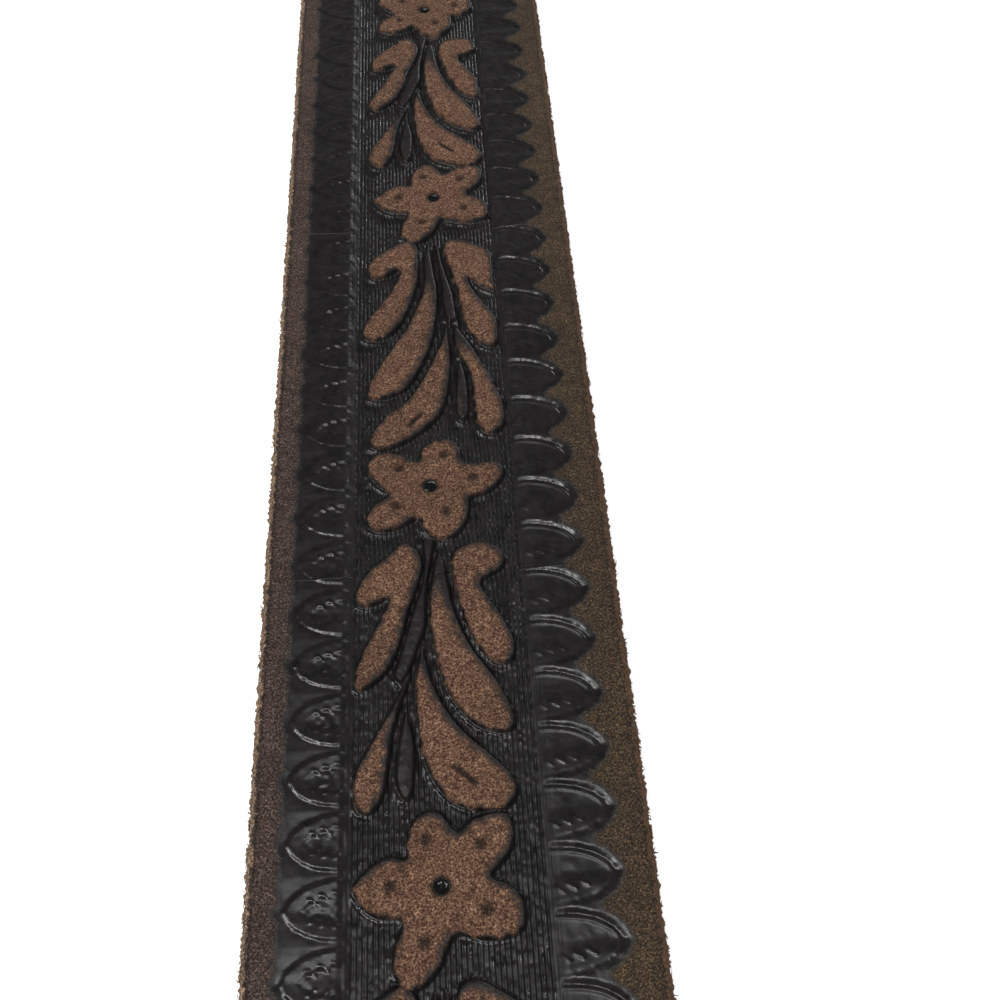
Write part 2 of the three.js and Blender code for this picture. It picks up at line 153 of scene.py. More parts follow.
# Which motifs the camera sees, and where it sees them. In the photo's 1000 pixel frame the strap's left
# edge is the line x = LEFT_AT_TOP + LEFT_SLOPE * y, its right edge is the like one, and the focal length is
# in pixels.
PHOTO_PIXELS = 1000
LEFT_AT_TOP = 300.47
LEFT_SLOPE = -0.06513
RIGHT_AT_TOP = 536.20
RIGHT_SLOPE = 0.14049
FOCAL_PIXELS = 1000.0
SENSOR = 36.0
SEEN_MOTIF = 6
SEEN_MOTIF_AHEAD = 48.8  # from the picture's middle row to that motif's flower
SEEN_Y = FIRST_MOTIF_Y - MOTIF_PITCH * SEEN_MOTIF - SEEN_MOTIF_AHEAD  # the middle row's place on the strap
CLOSE_LOW = -56.0  # the stretch that the camera sees, from the picture's middle row
CLOSE_HIGH = 103.0
FAR_STEP = 0.5  # between rows of vertices, outside that stretch
FAR_FIBRES = 1.2  # loose fibres on each millimetre of cut edge, outside that stretch

# Colours and the stage
MARGIN_TURN = 12.0  # from the strap's middle to where the left and right colours are whole
FLOOR_REACH = 1500.0  # from the strap's middle to the floor's sides
BACKDROP = 1.15  # the backdrop's strength to the camera
NEAR_CLIP_M = 0.005

# Flowers' distances from the strap's middle, by turns
FLOWER_DRIFT = [1.0, -0.75, -0.95, 0.8]

# What runs along a motif's outline: the middle of each, as a depth inside the outline, and its half width
FOOT_RIM = (-0.42, 0.26)
FOOT_GROOVE = (-0.06, 0.1)
# A band of painted shade round each motif's foot
FOOT_PAINTED_SHADE = (-0.16, 0.15)
SHOULDER_SHADE = (0, 0.4)

# Other heights and widths of the tooled face
PILLOW_HEIGHT = 0.2  # of a motif's middle over its shoulders
BANK_DEPTH = 0.42  # how far the margin sinks towards the panel's side
BANK_WIDTH = 1.2
CUT_LINE_IN = 0.85  # from the cut edge to the dark line beside it
WORN_WIDTH = 0.9  # of the rounding that wear gave the face beside the cut edge

# Marks struck into the motifs: each one's radius, and how deep it is
PETAL_DOT = (0.75, 0.72)
FLOWER_CENTRE = (1.1, 1.5)
SLIT_MARK = (0.42, 0.5)

# Each motif is charted from its flower's middle, in millimetres, across and along the belt. A leaf's nap
# starts nap_from millimetres below the flower's middle and is whole at nap_to; above that it is smooth dark
# stem.
FLOWER_LEFT = [
    (-3.4, 2.9), (-4.8, 3.2), (-6.5, 2.4), (-7.8, 1.2), (-8.35, 0.2), (-7.4, -1.4), (-6.0, -2.4),
    (-4.4, -2.6), (-3.8, -2.9), (-4.5, -4.8), (-4.6, -7.0), (-3.2, -8.6), (-1.6, -8.2), (-0.1, -6.8),
    (1.1, -4.5), (2.6, -4.6), (4.4, -4.9), (6.2, -4.7), (7.5, -4.0), (7.8, -2.5), (7.3, -0.9), (6.0, 0.2),
    (4.9, 0.7), (5.6, 1.4), (6.5, 2.3), (7.1, 3.6), (7.2, 5.1), (6.5, 6.4), (4.8, 6.6), (2.9, 6.0),
    (1.7, 5.1), (1.0, 5.9), (0.2, 6.8), (-1.0, 7.1), (-2.2, 6.6), (-3.0, 5.4), (-3.3, 4.1),
]
FLOWER_RIGHT = [
    (-1.5, 4.0), (-3.0, 4.8), (-5.0, 5.3), (-6.8, 4.6), (-7.3, 2.8), (-6.3, 0.8), (-5.0, -0.6),
    (-6.4, -1.7), (-7.4, -3.5), (-6.9, -5.2), (-5.0, -5.6), (-2.8, -5.0), (-1.5, -4.2), (-1.0, -5.6),
    (0.4, -6.8), (2.4, -6.8), (4.0, -5.2), (4.6, -3.2), (4.7, -1.9), (6.4, -1.3), (8.0, -0.1), (8.8, 1.9),
    (7.6, 3.3), (5.4, 3.3), (4.1, 3.3), (3.9, 4.9), (2.9, 6.4), (0.9, 6.7), (-0.8, 5.7),
]
PETAL_DOTS_LEFT = [(-4.7, 0.3), (-1.3, 4.2), (3.8, 3.5), (4.1, -2.2), (-1.6, -4.6)]
PETAL_DOTS_RIGHT = [(-3.5, 2.5), (1.7, 4.1), (4.9, 0.9), (1.7, -3.5), (-3.9, -2.4)]
SPRAY_LEFT = [
    {"name": "left_pair", "nap_from": 6, "nap_to": 8, "outline": [
        (-3.6, -7.7), (-5.6, -8.5), (-7.9, -10.2), (-9.1, -12.2), (-8.4, -14.4), (-6.6, -14.3),
        (-5.0, -13.3), (-5.4, -14.9), (-6.6, -17.4), (-8.6, -20.4), (-9.8, -23.3), (-9.1, -24.8),
        (-6.8, -24.7), (-4.8, -22.9), (-3.6, -20.3), (-2.7, -17.5), (-2.2, -14.7), (-2.0, -11.5),
        (-2.2, -9.0)]},
    {"name": "long_leaf", "nap_from": 13, "nap_to": 20, "outline": [
        (-1.0, -8.6), (-1.6, -10.2), (-1.8, -12.5), (-1.75, -14.7), (-2.2, -17.6), (-3.1, -20.4),
        (-4.3, -23.0), (-5.6, -25.3), (-7.3, -28.2), (-8.7, -31.0), (-9.0, -33.4), (-7.9, -34.2),
        (-5.6, -33.7), (-4.0, -32.7), (-2.8, -30.9), (-1.6, -28.3), (-0.6, -25.2), (-0.1, -22.2),
        (0.15, -19.4), (0.2, -16.6), (-0.1, -14.0), (-0.4, -11.0), (-0.5, -9.0)]},
    {"name": "slit_leaf", "nap_from": 22, "nap_to": 27, "outline": [
        (0.9, -22.3), (0.2, -25.2), (-0.9, -28.0), (-2.2, -30.8), (-3.6, -33.3), (-5.0, -34.9),
        (-6.7, -36.2), (-8.1, -38.2), (-8.9, -40.4), (-7.6, -41.5), (-4.8, -40.9), (-2.2, -39.2),
        (-0.2, -37.0), (0.8, -34.5), (1.3, -31.5), (1.5, -28.7), (1.45, -26.0), (1.25, -23.8)]},
    {"name": "stem", "nap_from": 16, "nap_to": 40, "outline": [
        (-0.1, -8.4), (0.6, -9.2), (1.0, -12.0), (1.55, -14.7), (2.2, -17.6), (2.45, -20.5), (2.6, -22.6),
        (1.9, -22.3), (1.4, -23.3), (0.9, -22.0), (0.45, -19.4), (0.45, -16.6), (0.2, -14.0),
        (-0.1, -11.0)]},
    {"name": "lower_leaf", "nap_from": 24, "nap_to": 29, "outline": [
        (1.9, -22.6), (2.9, -24.0), (4.2, -26.4), (5.4, -29.4), (6.6, -32.4), (7.5, -35.2), (7.6, -38.0),
        (6.6, -39.7), (4.9, -39.8), (3.9, -38.2), (3.75, -36.1), (3.65, -33.3), (3.4, -31.0), (2.7, -29.0),
        (1.9, -27.0), (1.65, -24.8)]},
    {"name": "small_leaf", "nap_from": 20, "nap_to": 60, "outline": [
        (2.4, -28.4), (3.1, -30.2), (3.35, -32.5), (3.4, -35.0), (3.2, -37.3), (2.3, -38.0), (1.5, -36.8),
        (1.5, -34.4), (1.75, -31.5), (1.9, -29.5)]},
    {"name": "right_pair", "nap_from": 6, "nap_to": 10, "outline": [
        (1.0, -8.4), (2.8, -7.6), (5.0, -8.6), (7.3, -10.3), (8.6, -12.6), (8.6, -15.6), (7.6, -17.5),
        (5.9, -16.9), (4.4, -15.4), (4.9, -17.2), (6.1, -19.4), (7.5, -22.0), (8.1, -24.5), (7.3, -26.4),
        (5.6, -26.7), (4.0, -25.0), (3.1, -22.8), (2.8, -20.0), (2.5, -17.4), (1.8, -14.5), (1.2, -11.5)]},
]
SPRAY_RIGHT = [
    {"name": "left_pair", "nap_from": 6, "nap_to": 8, "outline": [
        (-3.2, -6.7), (-4.9, -8.3), (-7.0, -10.0), (-8.3, -12.2), (-8.2, -14.4), (-6.6, -14.6),
        (-5.0, -13.9), (-5.6, -15.3), (-6.6, -17.4), (-7.9, -20.0), (-8.8, -22.4), (-8.0, -23.9),
        (-6.3, -23.4), (-4.5, -21.5), (-3.2, -18.4), (-2.5, -15.5), (-1.5, -12.6), (-0.9, -10.4),
        (-1.3, -8.3)]},
    {"name": "long_leaf", "nap_from": 9, "nap_to": 17, "outline": [
        (0.6, -8.2), (0.1, -9.4), (-0.35, -11.7), (-0.6, -14.4), (-0.6, -17.0), (-0.3, -19.7),
        (0.25, -22.4), (1.1, -24.8), (2.4, -26.9), (4.1, -28.5), (6.6, -29.2), (7.9, -28.4), (7.6, -26.4),
        (6.6, -24.0), (5.3, -21.9), (4.0, -19.9), (3.0, -17.6), (2.2, -15.0), (1.7, -12.0), (1.4, -9.4)]},
    {"name": "right_pair", "nap_from": 5, "nap_to": 8, "outline": [
        (1.9, -9.3), (2.6, -7.9), (4.6, -7.2), (6.7, -7.6), (8.0, -9.0), (7.9, -10.6), (6.4, -11.7),
        (5.3, -12.6), (6.3, -14.6), (7.6, -17.0), (8.5, -19.6), (8.0, -21.6), (6.5, -21.9), (5.0, -20.9),
        (3.9, -19.0), (2.9, -16.3), (2.3, -13.4), (2.0, -11.2)]},
    {"name": "slit_leaf", "nap_from": 19, "nap_to": 24, "outline": [
        (-1.5, -19.0), (-2.1, -21.5), (-2.3, -24.5), (-2.2, -27.5), (-1.8, -30.5), (-0.8, -33.4),
        (1.0, -35.6), (3.5, -36.6), (6.2, -36.6), (7.6, -35.2), (7.2, -33.2), (5.2, -31.0), (2.7, -28.6),
        (0.9, -26.0), (-0.3, -23.2), (-0.9, -20.6)]},
    {"name": "lower_leaf", "nap_from": 24, "nap_to": 28, "outline": [
        (-2.6, -21.5), (-3.9, -24.2), (-5.3, -26.6), (-6.8, -29.2), (-8.2, -31.8), (-8.8, -34.2),
        (-8.0, -36.0), (-6.4, -36.2), (-5.2, -34.4), (-4.7, -31.5), (-4.3, -28.6), (-3.5, -25.7),
        (-2.7, -23.2)]},
    {"name": "small_leaf", "nap_from": 20, "nap_to": 60, "outline": [
        (-3.2, -26.2), (-3.9, -28.5), (-4.3, -31.0), (-4.4, -33.5), (-3.6, -35.2), (-2.6, -34.8),
        (-2.2, -32.0), (-2.3, -29.0)]},
    {"name": "stem", "nap_from": 16, "nap_to": 60, "outline": [
        (-1.1, -6.8), (0.35, -6.8), (0.1, -9.2), (-0.4, -11.8), (-0.7, -14.5), (-0.75, -17.0),
        (-1.3, -18.8), (-1.9, -20.4), (-2.5, -22.0), (-3.5, -23.5), (-4.5, -22.5), (-3.9, -20.5),
        (-3.2, -18.0), (-2.5, -15.5), (-1.6, -12.8), (-1.1, -10.0), (-1.2, -8.2)]},
]
# Each motif's spray is charted over the stretch from its own flower to the next one
MOTIFS = [
    {"flower": FLOWER_LEFT, "dots": PETAL_DOTS_LEFT, "spray": SPRAY_LEFT,
     "slit": [(-2.6, -36.8), (-4.0, -38.4)]},
    {"flower": FLOWER_RIGHT, "dots": PETAL_DOTS_RIGHT, "spray": SPRAY_RIGHT,
     "slit": [(1.6, -32.3), (3.3, -33.9)]},
]


def linear(hex_colour):
    """An sRGB hex colour as linear red, green, blue and alpha."""
    channels = [int(hex_colour[i:i + 2], 16) / 255 for i in (1, 3, 5)]
    return tuple(c / 12.92 if c <= 0.04045 else ((c + 0.055) / 1.055) ** 2.4 for c in channels) + (1.0,)


def colour_property(name, hex_colour, description):
    return bpy.props.FloatVectorProperty(
        name=name, description=description, subtype="COLOR", size=4, min=0, max=1,
        default=linear(hex_colour))


class BeltLeather(bpy.types.PropertyGroup):
    """Colours and surface sizes of the belt's leather."""

    nap_light: colour_property("Nap light", "#ae886c", "Lightest fibres of the raised, napped motifs")
    nap_dark: colour_property("Nap dark", "#301c14", "Darkest pits of the raised, napped motifs")
    ground_light: colour_property("Ground light", "#211e1d", "Worn parts of the dyed ground")
    # ground_dark also colours the line finish: painted shade in the grooves and round the motifs' feet, and
    # the darkened pits
    ground_dark: colour_property("Ground dark", "#040404", "Deepest parts of the dyed ground")
    margin_left: colour_property("Left margin", "#8a7165", "Light fibres of the margin left of the panel")
    margin_right: colour_property("Right margin", "#7f674c", "Light fibres of the margin right of the panel")
    margin_dark: colour_property("Margin dark", "#130e0b", "Dark fibres of both margins")
    # The cut edges are one raw tan: the left one is given a light colour, painted light from the windows on
    # that side, and the right one a dark colour, painted shade
    edge_lit_left: colour_property("Left cut edge", "#c8aa8c", "Fibres of the raw cut edge on the left")
    edge_shaded_right: colour_property("Right cut edge", "#6f4c34", "Fibres of the raw cut edge on the right")
    edge_dark: colour_property("Cut edge dark", "#3a2a20", "Shaded parts of the raw cut edge")
    ridge_pitch: bpy.props.FloatProperty(
        name="Ridge pitch", description="Distance between the ground's ridges, in millimetres", default=0.49)
    ridge_height: bpy.props.FloatProperty(
        name="Ridge height", description="Height of the ground's ridges, in millimetres", default=0.26)
    panel_depth: bpy.props.FloatProperty(
        name="Panel depth", description="How far the ground is sunk, in millimetres", default=0.6)
    fibres_per_mm: bpy.props.FloatProperty(
        name="Edge fibres", description="Loose fibres on each millimetre of cut edge in the close stretch",
        default=13)


class BeltMetal(bpy.types.PropertyGroup):
    """Colours of the buckle and posts."""

    wear_and_shade: colour_property("Worn metal", "#9a948a", "Rubbed high parts of the antiqued nickel")
    dark: colour_property("Dark metal", "#3b3733", "Antiquing left in the low parts")


class BeltStage(bpy.types.PropertyGroup):
    """The stage's colours and lights."""

    floor: colour_property("Floor", "#fbfbfa", "The pale paper that the belt lies on")
    floor_glow: bpy.props.FloatProperty(
        name="Floor glow", description="How brightly the floor glows by itself", default=0.3)
    window_light: bpy.props.FloatProperty(
        name="Window light", description="Strength of each pane of the high window", default=1.05)
    fill_light: bpy.props.FloatProperty(
        name="Fill light", description="Strength of the wide light behind the camera", default=0.8)
    low_light: bpy.props.FloatProperty(
        name="Low light", description="Strength of the low light behind the belt", default=0.9)
    room_light: bpy.props.FloatProperty(
        name="Room light", description="Strength of the even light from all round", default=0.28)


def smooth_step(low, high, value):
    """0 below low, 1 above high, and an even rise between them."""
    share = np.clip((value - low) / (high - low), 0, 1)
    return share * share * (3 - 2 * share)


def bump_at(value, middle, half_width):
    """A rounded ridge of height 1 across value, centred on middle."""
    return np.exp(-(((value - middle) / half_width) ** 2))


def value_noise(x, y, size, seed):
    """Smooth noise from -1 to 1 whose lumps are about size wide."""
    table = np.random.default_rng(seed).uniform(-1, 1, (256, 256))
    gx = x / size
    gy = y / size
    ix = np.floor(gx).astype(int)
    iy = np.floor(gy).astype(int)
    fx = gx - ix
    fy = gy - iy
    fx = fx * fx * (3 - 2 * fx)
    fy = fy * fy * (3 - 2 * fy)
    near = table[ix % 256, iy % 256] * (1 - fx) + table[(ix + 1) % 256, iy % 256] * fx
    far = table[ix % 256, (iy + 1) % 256] * (1 - fx) + table[(ix + 1) % 256, (iy + 1) % 256] * fx
    return near * (1 - fy) + far * fy


def smooth_loop(points, steps=5):
    """A closed, rounded curve through the points."""
    here = np.asarray(points, float)
    before = np.roll(here, 1, 0)[:, None]
    after = np.roll(here, -1, 0)[:, None]
    beyond = np.roll(here, -2, 0)[:, None]
    here = here[:, None]
    t = (np.arange(steps) / steps)[None, :, None]
    slope = (after - before) * t
    bend = (2 * before - 5 * here + 4 * after - beyond) * t**2
    twist = (3 * here - before - 3 * after + beyond) * t**3
    return ((2 * here + slope + bend + twist) / 2).reshape(-1, 2)


def depth_inside(loop, x, y):
    """How far inside a closed loop each point lies: negative outside."""
    nearest = np.full(x.shape, np.inf)
    inside = np.zeros(x.shape, bool)
    for (ax, ay), (bx, by) in zip(loop, np.roll(loop, -1, 0)):
        dx = bx - ax
        dy = by - ay
        px = x - ax
        py = y - ay
        along = np.clip((px * dx + py * dy) / (dx * dx + dy * dy), 0, 1)
        nearest = np.minimum(nearest, (px - dx * along) ** 2 + (py - dy * along) ** 2)
        if dy:
            inside ^= ((ay > y) != (by > y)) & (px < dx * py / dy)
    return np.where(inside, 1, -1) * np.sqrt(nearest)


def distance_to_line(start, end, x, y):
    dx = end[0] - start[0]
    dy = end[1] - start[1]
    along = np.clip(((x - start[0]) * dx + (y - start[1]) * dy) / (dx * dx + dy * dy), 0, 1)
    return np.hypot(x - start[0] - dx * along, y - start[1] - dy * along)


class Tooling:
    """The tooled surface over one grid of places: its height and its finishes.

    Depths are millimetres inside an outline, negative outside it, and heights are millimetres over the face.
    """

    def __init__(self, x, y, leather):
        self.x = x
        self.y = y
        self.leather = leather
        self.motif = np.full(x.shape, -9.0)  # depth inside the nearest flower or leaf
        self.nap = np.zeros(x.shape)
        self.pits = np.zeros(x.shape)

    def window(self, low, high):
        """The grid's rows and columns that cover a rectangle, or None."""
        reach = 1.5
        rows = np.flatnonzero((self.y[:, 0] > low[1] - reach) & (self.y[:, 0] < high[1] + reach))
        columns = np.flatnonzero((self.x[0] > low[0] - reach) & (self.x[0] < high[0] + reach))
        if len(rows) < 2 or len(columns) < 2:
            return None
        return slice(rows[0], rows[-1] + 1), slice(columns[0], columns[-1] + 1)

    def add_shape(self, points, nap_from, nap_to, flower_y):
        loop = smooth_loop(points)
        window = self.window(loop.min(0), loop.max(0))
        if window is None:
            return
        x = self.x[window]
        y = self.y[window]
        depth = depth_inside(loop, x, y) - SLOPE_WIDTH
        below = flower_y - y
        steep_y, steep_x = np.gradient(depth, y[:, 0], x[0])
        near = np.clip(steep_x + steep_y, 0, 1)  # 1 along the lower left, where the nap reaches the outline
        # The nap's light colour reaches the outline on the lower-left sides, which face the high lights, and
        # stops short of it on the other sides: painted light on the lit sides and painted shade on the
        # others
        nap = smooth_step(-0.35 - 0.05 * near, 1.15 - 0.85 * near, depth + 0.25 * value_noise(x, y, 0.6, 5))
        nap = nap * smooth_step(nap_from, nap_to, below)
        self.motif[window] = np.maximum(self.motif[window], depth)
        self.nap[window] = np.maximum(self.nap[window], nap)

    def add_pit(self, x0, y0, radius, deep):
        window = self.window((x0 - radius, y0 - radius), (x0 + radius, y0 + radius))
        if window is None:
            return
        far = np.hypot(self.x[window] - x0, self.y[window] - y0) / radius
        self.pits[window] += deep * (1 - smooth_step(0.35, 1.15, far))

    def add_motif(self, index):
        motif = MOTIFS[index % 2]
        middle_x = FLOWER_DRIFT[(index - SEEN_MOTIF) % len(FLOWER_DRIFT)]
        middle_y = FIRST_MOTIF_Y - MOTIF_PITCH * index - (MOTIF_STAGGER if index % 2 else 0)

        def placed(points):
            spot = np.asarray(points, float) + (middle_x, middle_y)
            limit = PANEL_HALF - 0.15
            spot[:, 0] = np.clip(spot[:, 0] - PANEL_SHIFT, -limit, limit) + PANEL_SHIFT
            return spot

        self.add_shape(placed(motif["flower"]), -30, -20, middle_y)
        for leaf in motif["spray"]:
            self.add_shape(placed(leaf["outline"]), leaf["nap_from"], leaf["nap_to"], middle_y)
        for dot in placed(motif["dots"]):
            self.add_pit(*dot, *PETAL_DOT)
        self.add_pit(middle_x, middle_y, *FLOWER_CENTRE)
        start, end = placed(motif["slit"])
        for share in np.linspace(0, 1, 7):
            self.add_pit(*(start * (1 - share) + end * share), *SLIT_MARK)

    def arches(self):
        """The arches' relief, how far each place lies in their dark leather, and how polished it is."""
        x = self.x
        y = self.y
        relief = np.zeros(x.shape)
        halo = np.zeros(x.shape)
        struck = np.zeros(x.shape)
        for row in ARCH_ROWS:
            past = y - SEEN_Y - row["seen"]
            number = np.round(past / row["pitch"])
            middle = SEEN_Y + row["seen"] + number * row["pitch"]
            whole = (middle - ARCH_HALF > FIELD_START) & (middle + ARCH_HALF < FIELD_END)
            along = y - middle + 0.1 * value_noise(number * 5.3, 0 * number + row["side"], 1, 9)
            outward = np.abs(x) - row["base"]
            reach = ARCH_POINT - row["base"]
            shares = np.linspace(0, 1, 14)
            halves = ARCH_HALF * (1 - shares**2.4) ** 0.65
            outline = [(-1.0, ARCH_HALF * 0.86), *zip(shares * reach, halves)]
            loop = np.array(outline + [(a, -b) for a, b in reversed(outline[:-1])])
            depth = np.where(whole, depth_inside(loop, outward, along), -9)
            stamped = np.interp(depth, *zip(*row["section"]))
            if row["side"] > 0:  # the tool leaned to the far side and hardly marked the near half
                stamped *= 0.12 + 0.88 * smooth_step(-1.2, 0.3, along)
            crisp = bump_at(depth, row["bright"], 0.45)
            for rank in range(3):
                for way in row["dashes"]:
                    start = (0.35 + 1.15 * rank, way * (1.05 - 0.25 * rank))
                    end = (1.15 + 1.15 * rank, way * (1.6 - 0.27 * rank))
                    dash = distance_to_line(start, end, outward, along)
                    stamped += 0.08 * bump_at(dash, 0, 0.16) * smooth_step(0.7, 0.95, depth)
                    crisp = np.maximum(crisp, bump_at(dash, 0, 0.3))
            stamped += row["grain"] * smooth_step(0.9, 1.2, depth) * value_noise(x, y, 0.45, 10)
            stamped += 0.03 * bump_at(depth, -0.1, 0.3) * value_noise(x, y, 0.4, 18)
            dark = 1 - smooth_step(0.1, row["halo"], -depth)
            dark = np.maximum(dark, 1 - smooth_step(row["filled"] - 0.9, row["filled"] + 1.0, np.abs(x)))
            on_side = x * row["side"] > 0
            polish = 0.2 + 0.2 * smooth_step(-0.6, -0.3, depth) + 0.5 * crisp
            relief = np.where(on_side, stamped * smooth_step(0.05, 0.35, outward), relief)
            halo = np.where(on_side, dark, halo)
            struck = np.where(on_side, polish, struck)
        return relief, np.clip(1.3 * halo - 0.08 + 0.12 * value_noise(x, y, 0.9, 8), 0, 1), struck

    def finish(self):
        """Heights over the plain leather's face, and the finishes as nap, margin, line, edge and polish. The
        line finish holds painted shade in the ground's grooves and round the motifs' feet, with the darkened
        pits and the dark line by the cut edge.
        """
        x = self.x
        y = self.y
        leather = self.leather
        side = np.abs(x)
        panel_side = np.abs(x - PANEL_SHIFT)
        in_field = smooth_step(FIELD_START - 0.15, FIELD_START + 0.15, y)
        in_field *= 1 - smooth_step(FIELD_END - 0.15, FIELD_END + 0.15, y)
        rough = 0.035 * value_noise(x, y, 2.2, 1) + 0.02 * value_noise(x, y, 0.7, 2)

        # The panel: ridged ground round raised motifs
        raised = smooth_step(-0.3, 0.14, self.motif)
        pillow = PILLOW_HEIGHT * (1 - np.exp(-np.maximum(self.motif, 0) / 1.1))
        lane = np.round(x / leather.ridge_pitch)
        broken = 0.75 + 0.4 * value_noise(lane * 7.3, y, 1.6, 3) + 0.3 * value_noise(lane * 3.1, y, 0.45, 4)
        groove = (0.5 - 0.5 * np.cos(2 * math.pi * x / leather.ridge_pitch)) ** 2
        groove = groove * np.clip(broken, 0.15, 1.2)
        crest = 0.08 * value_noise(lane * 5.7, y, 0.4, 11) * (1 - groove)
        steep_y, steep_x = np.gradient(self.motif, y[:, 0], x[0])
        facing = np.clip(steep_x + steep_y - 0.35, 0, 1)  # where the foot turns towards the high light
        rim = facing * bump_at(self.motif, *FOOT_RIM)
        foot = 0.16 * rim - 0.05 * bump_at(self.motif, *FOOT_GROOVE)
        ridges = leather.ridge_height * groove * (1 - rim)
        panel = (-leather.panel_depth - ridges + crest + foot) * (1 - raised)
        panel += pillow * raised
        panel += raised * (0.03 * value_noise(x, y, 0.5, 6) + 0.025 * value_noise(x, y, 0.25, 7))
        panel -= 0.3 * self.pits - 0.12 * smooth_step(0.9, 1.4, self.pits) * value_noise(x, y, 0.45, 13)

        # The arches along both sides, stamped into dark leather
        relief, halo, struck = self.arches()
        border = -0.08 * bump_at(panel_side, PANEL_HALF + 0.14, 0.1)
        in_panel = (1 - smooth_step(PANEL_HALF - 0.1, PANEL_HALF + 0.1, panel_side)) * in_field
        bank = -BANK_DEPTH * (1 - smooth_step(PANEL_HALF, PANEL_HALF + BANK_WIDTH, panel_side))
        height = panel * in_panel + (relief - 0.1 * halo + border + bank) * (in_field - in_panel) + rough
        worn_edge = np.maximum(0, (side - HALF_WIDTH + WORN_WIDTH) / WORN_WIDTH)
        height -= 0.8 * worn_edge**2

        nap = np.clip(self.nap * in_panel * (1 - np.clip(2.2 * self.pits - 1.5, 0, 1)), 0, 1)
        margin = np.maximum(1 - halo, 1 - in_field) * (1 - in_panel)
        # Painted shade in the line finish: a dark band round the motifs' feet, faint on the lower-left sides
        # that face the high light and gone on their lit rims, and dark paint along the ground's grooves. The
        # stamped pits are darkened too.
        line = 0.35 * bump_at(self.motif, *FOOT_PAINTED_SHADE) * (1 - 0.8 * facing)
        line = np.maximum(line, groove * (1 - raised))
        line = np.maximum(line * in_panel * (1 - 0.8 * rim), 1.2 * self.pits)
        cut_line = bump_at(side + 0.15 * value_noise(x, y, 0.5, 16), HALF_WIDTH - CUT_LINE_IN, 0.13)
        cut_line *= np.where(x < 0, 0.75, 0.4)
        line = np.clip(np.maximum(line, cut_line * (1 - in_panel)), 0, 1)
        edge = smooth_step(HALF_WIDTH - 0.8, HALF_WIDTH - 0.4, side + 0.3 * value_noise(x, y, 0.4, 12))
        glint = smooth_step(0.3, 0.7, value_noise(lane * 7.7, y, 0.6, 17)) * (1 - groove) * (1 - raised)
        shade = 1.6 * bump_at(self.motif, *SHOULDER_SHADE) * (1 - facing)
        smooth_band = struck * smooth_step(PANEL_HALF + 0.3, PANEL_HALF + 2.2, panel_side)
        polish = np.maximum(rim, 0.8 * glint - shade) * in_panel + smooth_band * (in_field - in_panel)
        polish = np.maximum(polish, smooth_step(0.9, 1.3, self.pits))
        return height, np.stack([nap, margin, line, edge, polish], -1)


def mesh_object(name, vertices, faces, material_numbers=None, flat=0):
    """A new mesh object from millimetre vertices; faces is a list of arrays with one face a row.

    The last faces, as many as flat says, are shaded flat, so that they don't bend their neighbours' shading.
    """
    mesh = bpy.data.meshes.new(name)
    vertices = np.asarray(vertices, float) * MM
    corners = np.concatenate([np.asarray(block).ravel() for block in faces])
    totals = np.concatenate([np.full(len(block), np.asarray(block).shape[1]) for block in faces])
    mesh.vertices.add(len(vertices))
    mesh.vertices.foreach_set("co", vertices.ravel())
    mesh.loops.add(len(corners))
    mesh.loops.foreach_set("vertex_index", corners.astype(np.int32))
    mesh.polygons.add(len(totals))
    starts = np.concatenate([[0], np.cumsum(totals)[:-1]])
    mesh.polygons.foreach_set("loop_start", starts.astype(np.int32))
    mesh.polygons.foreach_set("loop_total", totals.astype(np.int32))
    mesh.polygons.foreach_set("use_smooth", np.arange(len(totals)) < len(totals) - flat)
    if material_numbers is not None:
        mesh.polygons.foreach_set("material_index", np.asarray(material_numbers, np.int32))
    mesh.update(calc_edges=True)
    mesh.validate()
    made = bpy.data.objects.new(name, mesh)
    bpy.context.scene.collection.objects.link(made)
    return made


def settle(piece, node, materials):
    """Gives a piece its materials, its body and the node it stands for."""
    for material in materials:
        piece.data.materials.append(material)
    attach(piece, "root")
    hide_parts(node)
    return piece


def paint(mesh, finishes):
    """Stores nap, margin, line and edge at each vertex, and polish beside them. The line finish holds
    painted shade as well as dark marks.
    """
    layer = mesh.attributes.new("tooling", "FLOAT_COLOR", "POINT")
    layer.data.foreach_set("color", finishes[..., :4].astype(np.float32).ravel())
    layer = mesh.attributes.new("polish", "FLOAT", "POINT")
    layer.data.foreach_set("value", finishes[..., 4].astype(np.float32).ravel())


def grid_faces(rows, columns, closed):
    """Quads between the rows of a grid of vertices, round the section too where it is closed."""
    first = np.arange(rows - 1)[:, None] * columns
    steps = np.arange(columns if closed else columns - 1)[None]
    a = first + steps
    b = first + (steps + 1) % columns
    return np.stack([a, b, b + columns, a + columns], -1).reshape(-1, 4)


def skin(name, rows, ring=False):
    """A closed solid through a row of closed sections, or round a ring of them."""
    rows = np.asarray(rows, float)
    count, around = rows.shape[:2]
    if ring:
        looped = np.arange(count * around).reshape(count, around)
        looped = np.concatenate([looped, looped[:1]])
        a = looped[:-1]
        b = looped[1:]
        quads = np.stack([a, np.roll(a, -1, 1), np.roll(b, -1, 1), b], -1).reshape(-1, 4)
        faces = [quads]
    else:
        last = (count - 1) * around
        faces = [grid_faces(count, around, True), np.arange(around)[::-1][None],
                 np.arange(last, last + around)[None]]
    flat_points = rows.reshape(-1, 3)
    corner = flat_points[faces[0]]
    volume = np.einsum("ij,ij->i", corner[:, 0], np.cross(corner[:, 1], corner[:, 2])).sum()
    volume += np.einsum("ij,ij->i", corner[:, 0], np.cross(corner[:, 2], corner[:, 3])).sum()
    if volume < 0:
        faces = [block[:, ::-1] for block in faces]
    return mesh_object(name, flat_points, faces, flat=0 if ring else 2)


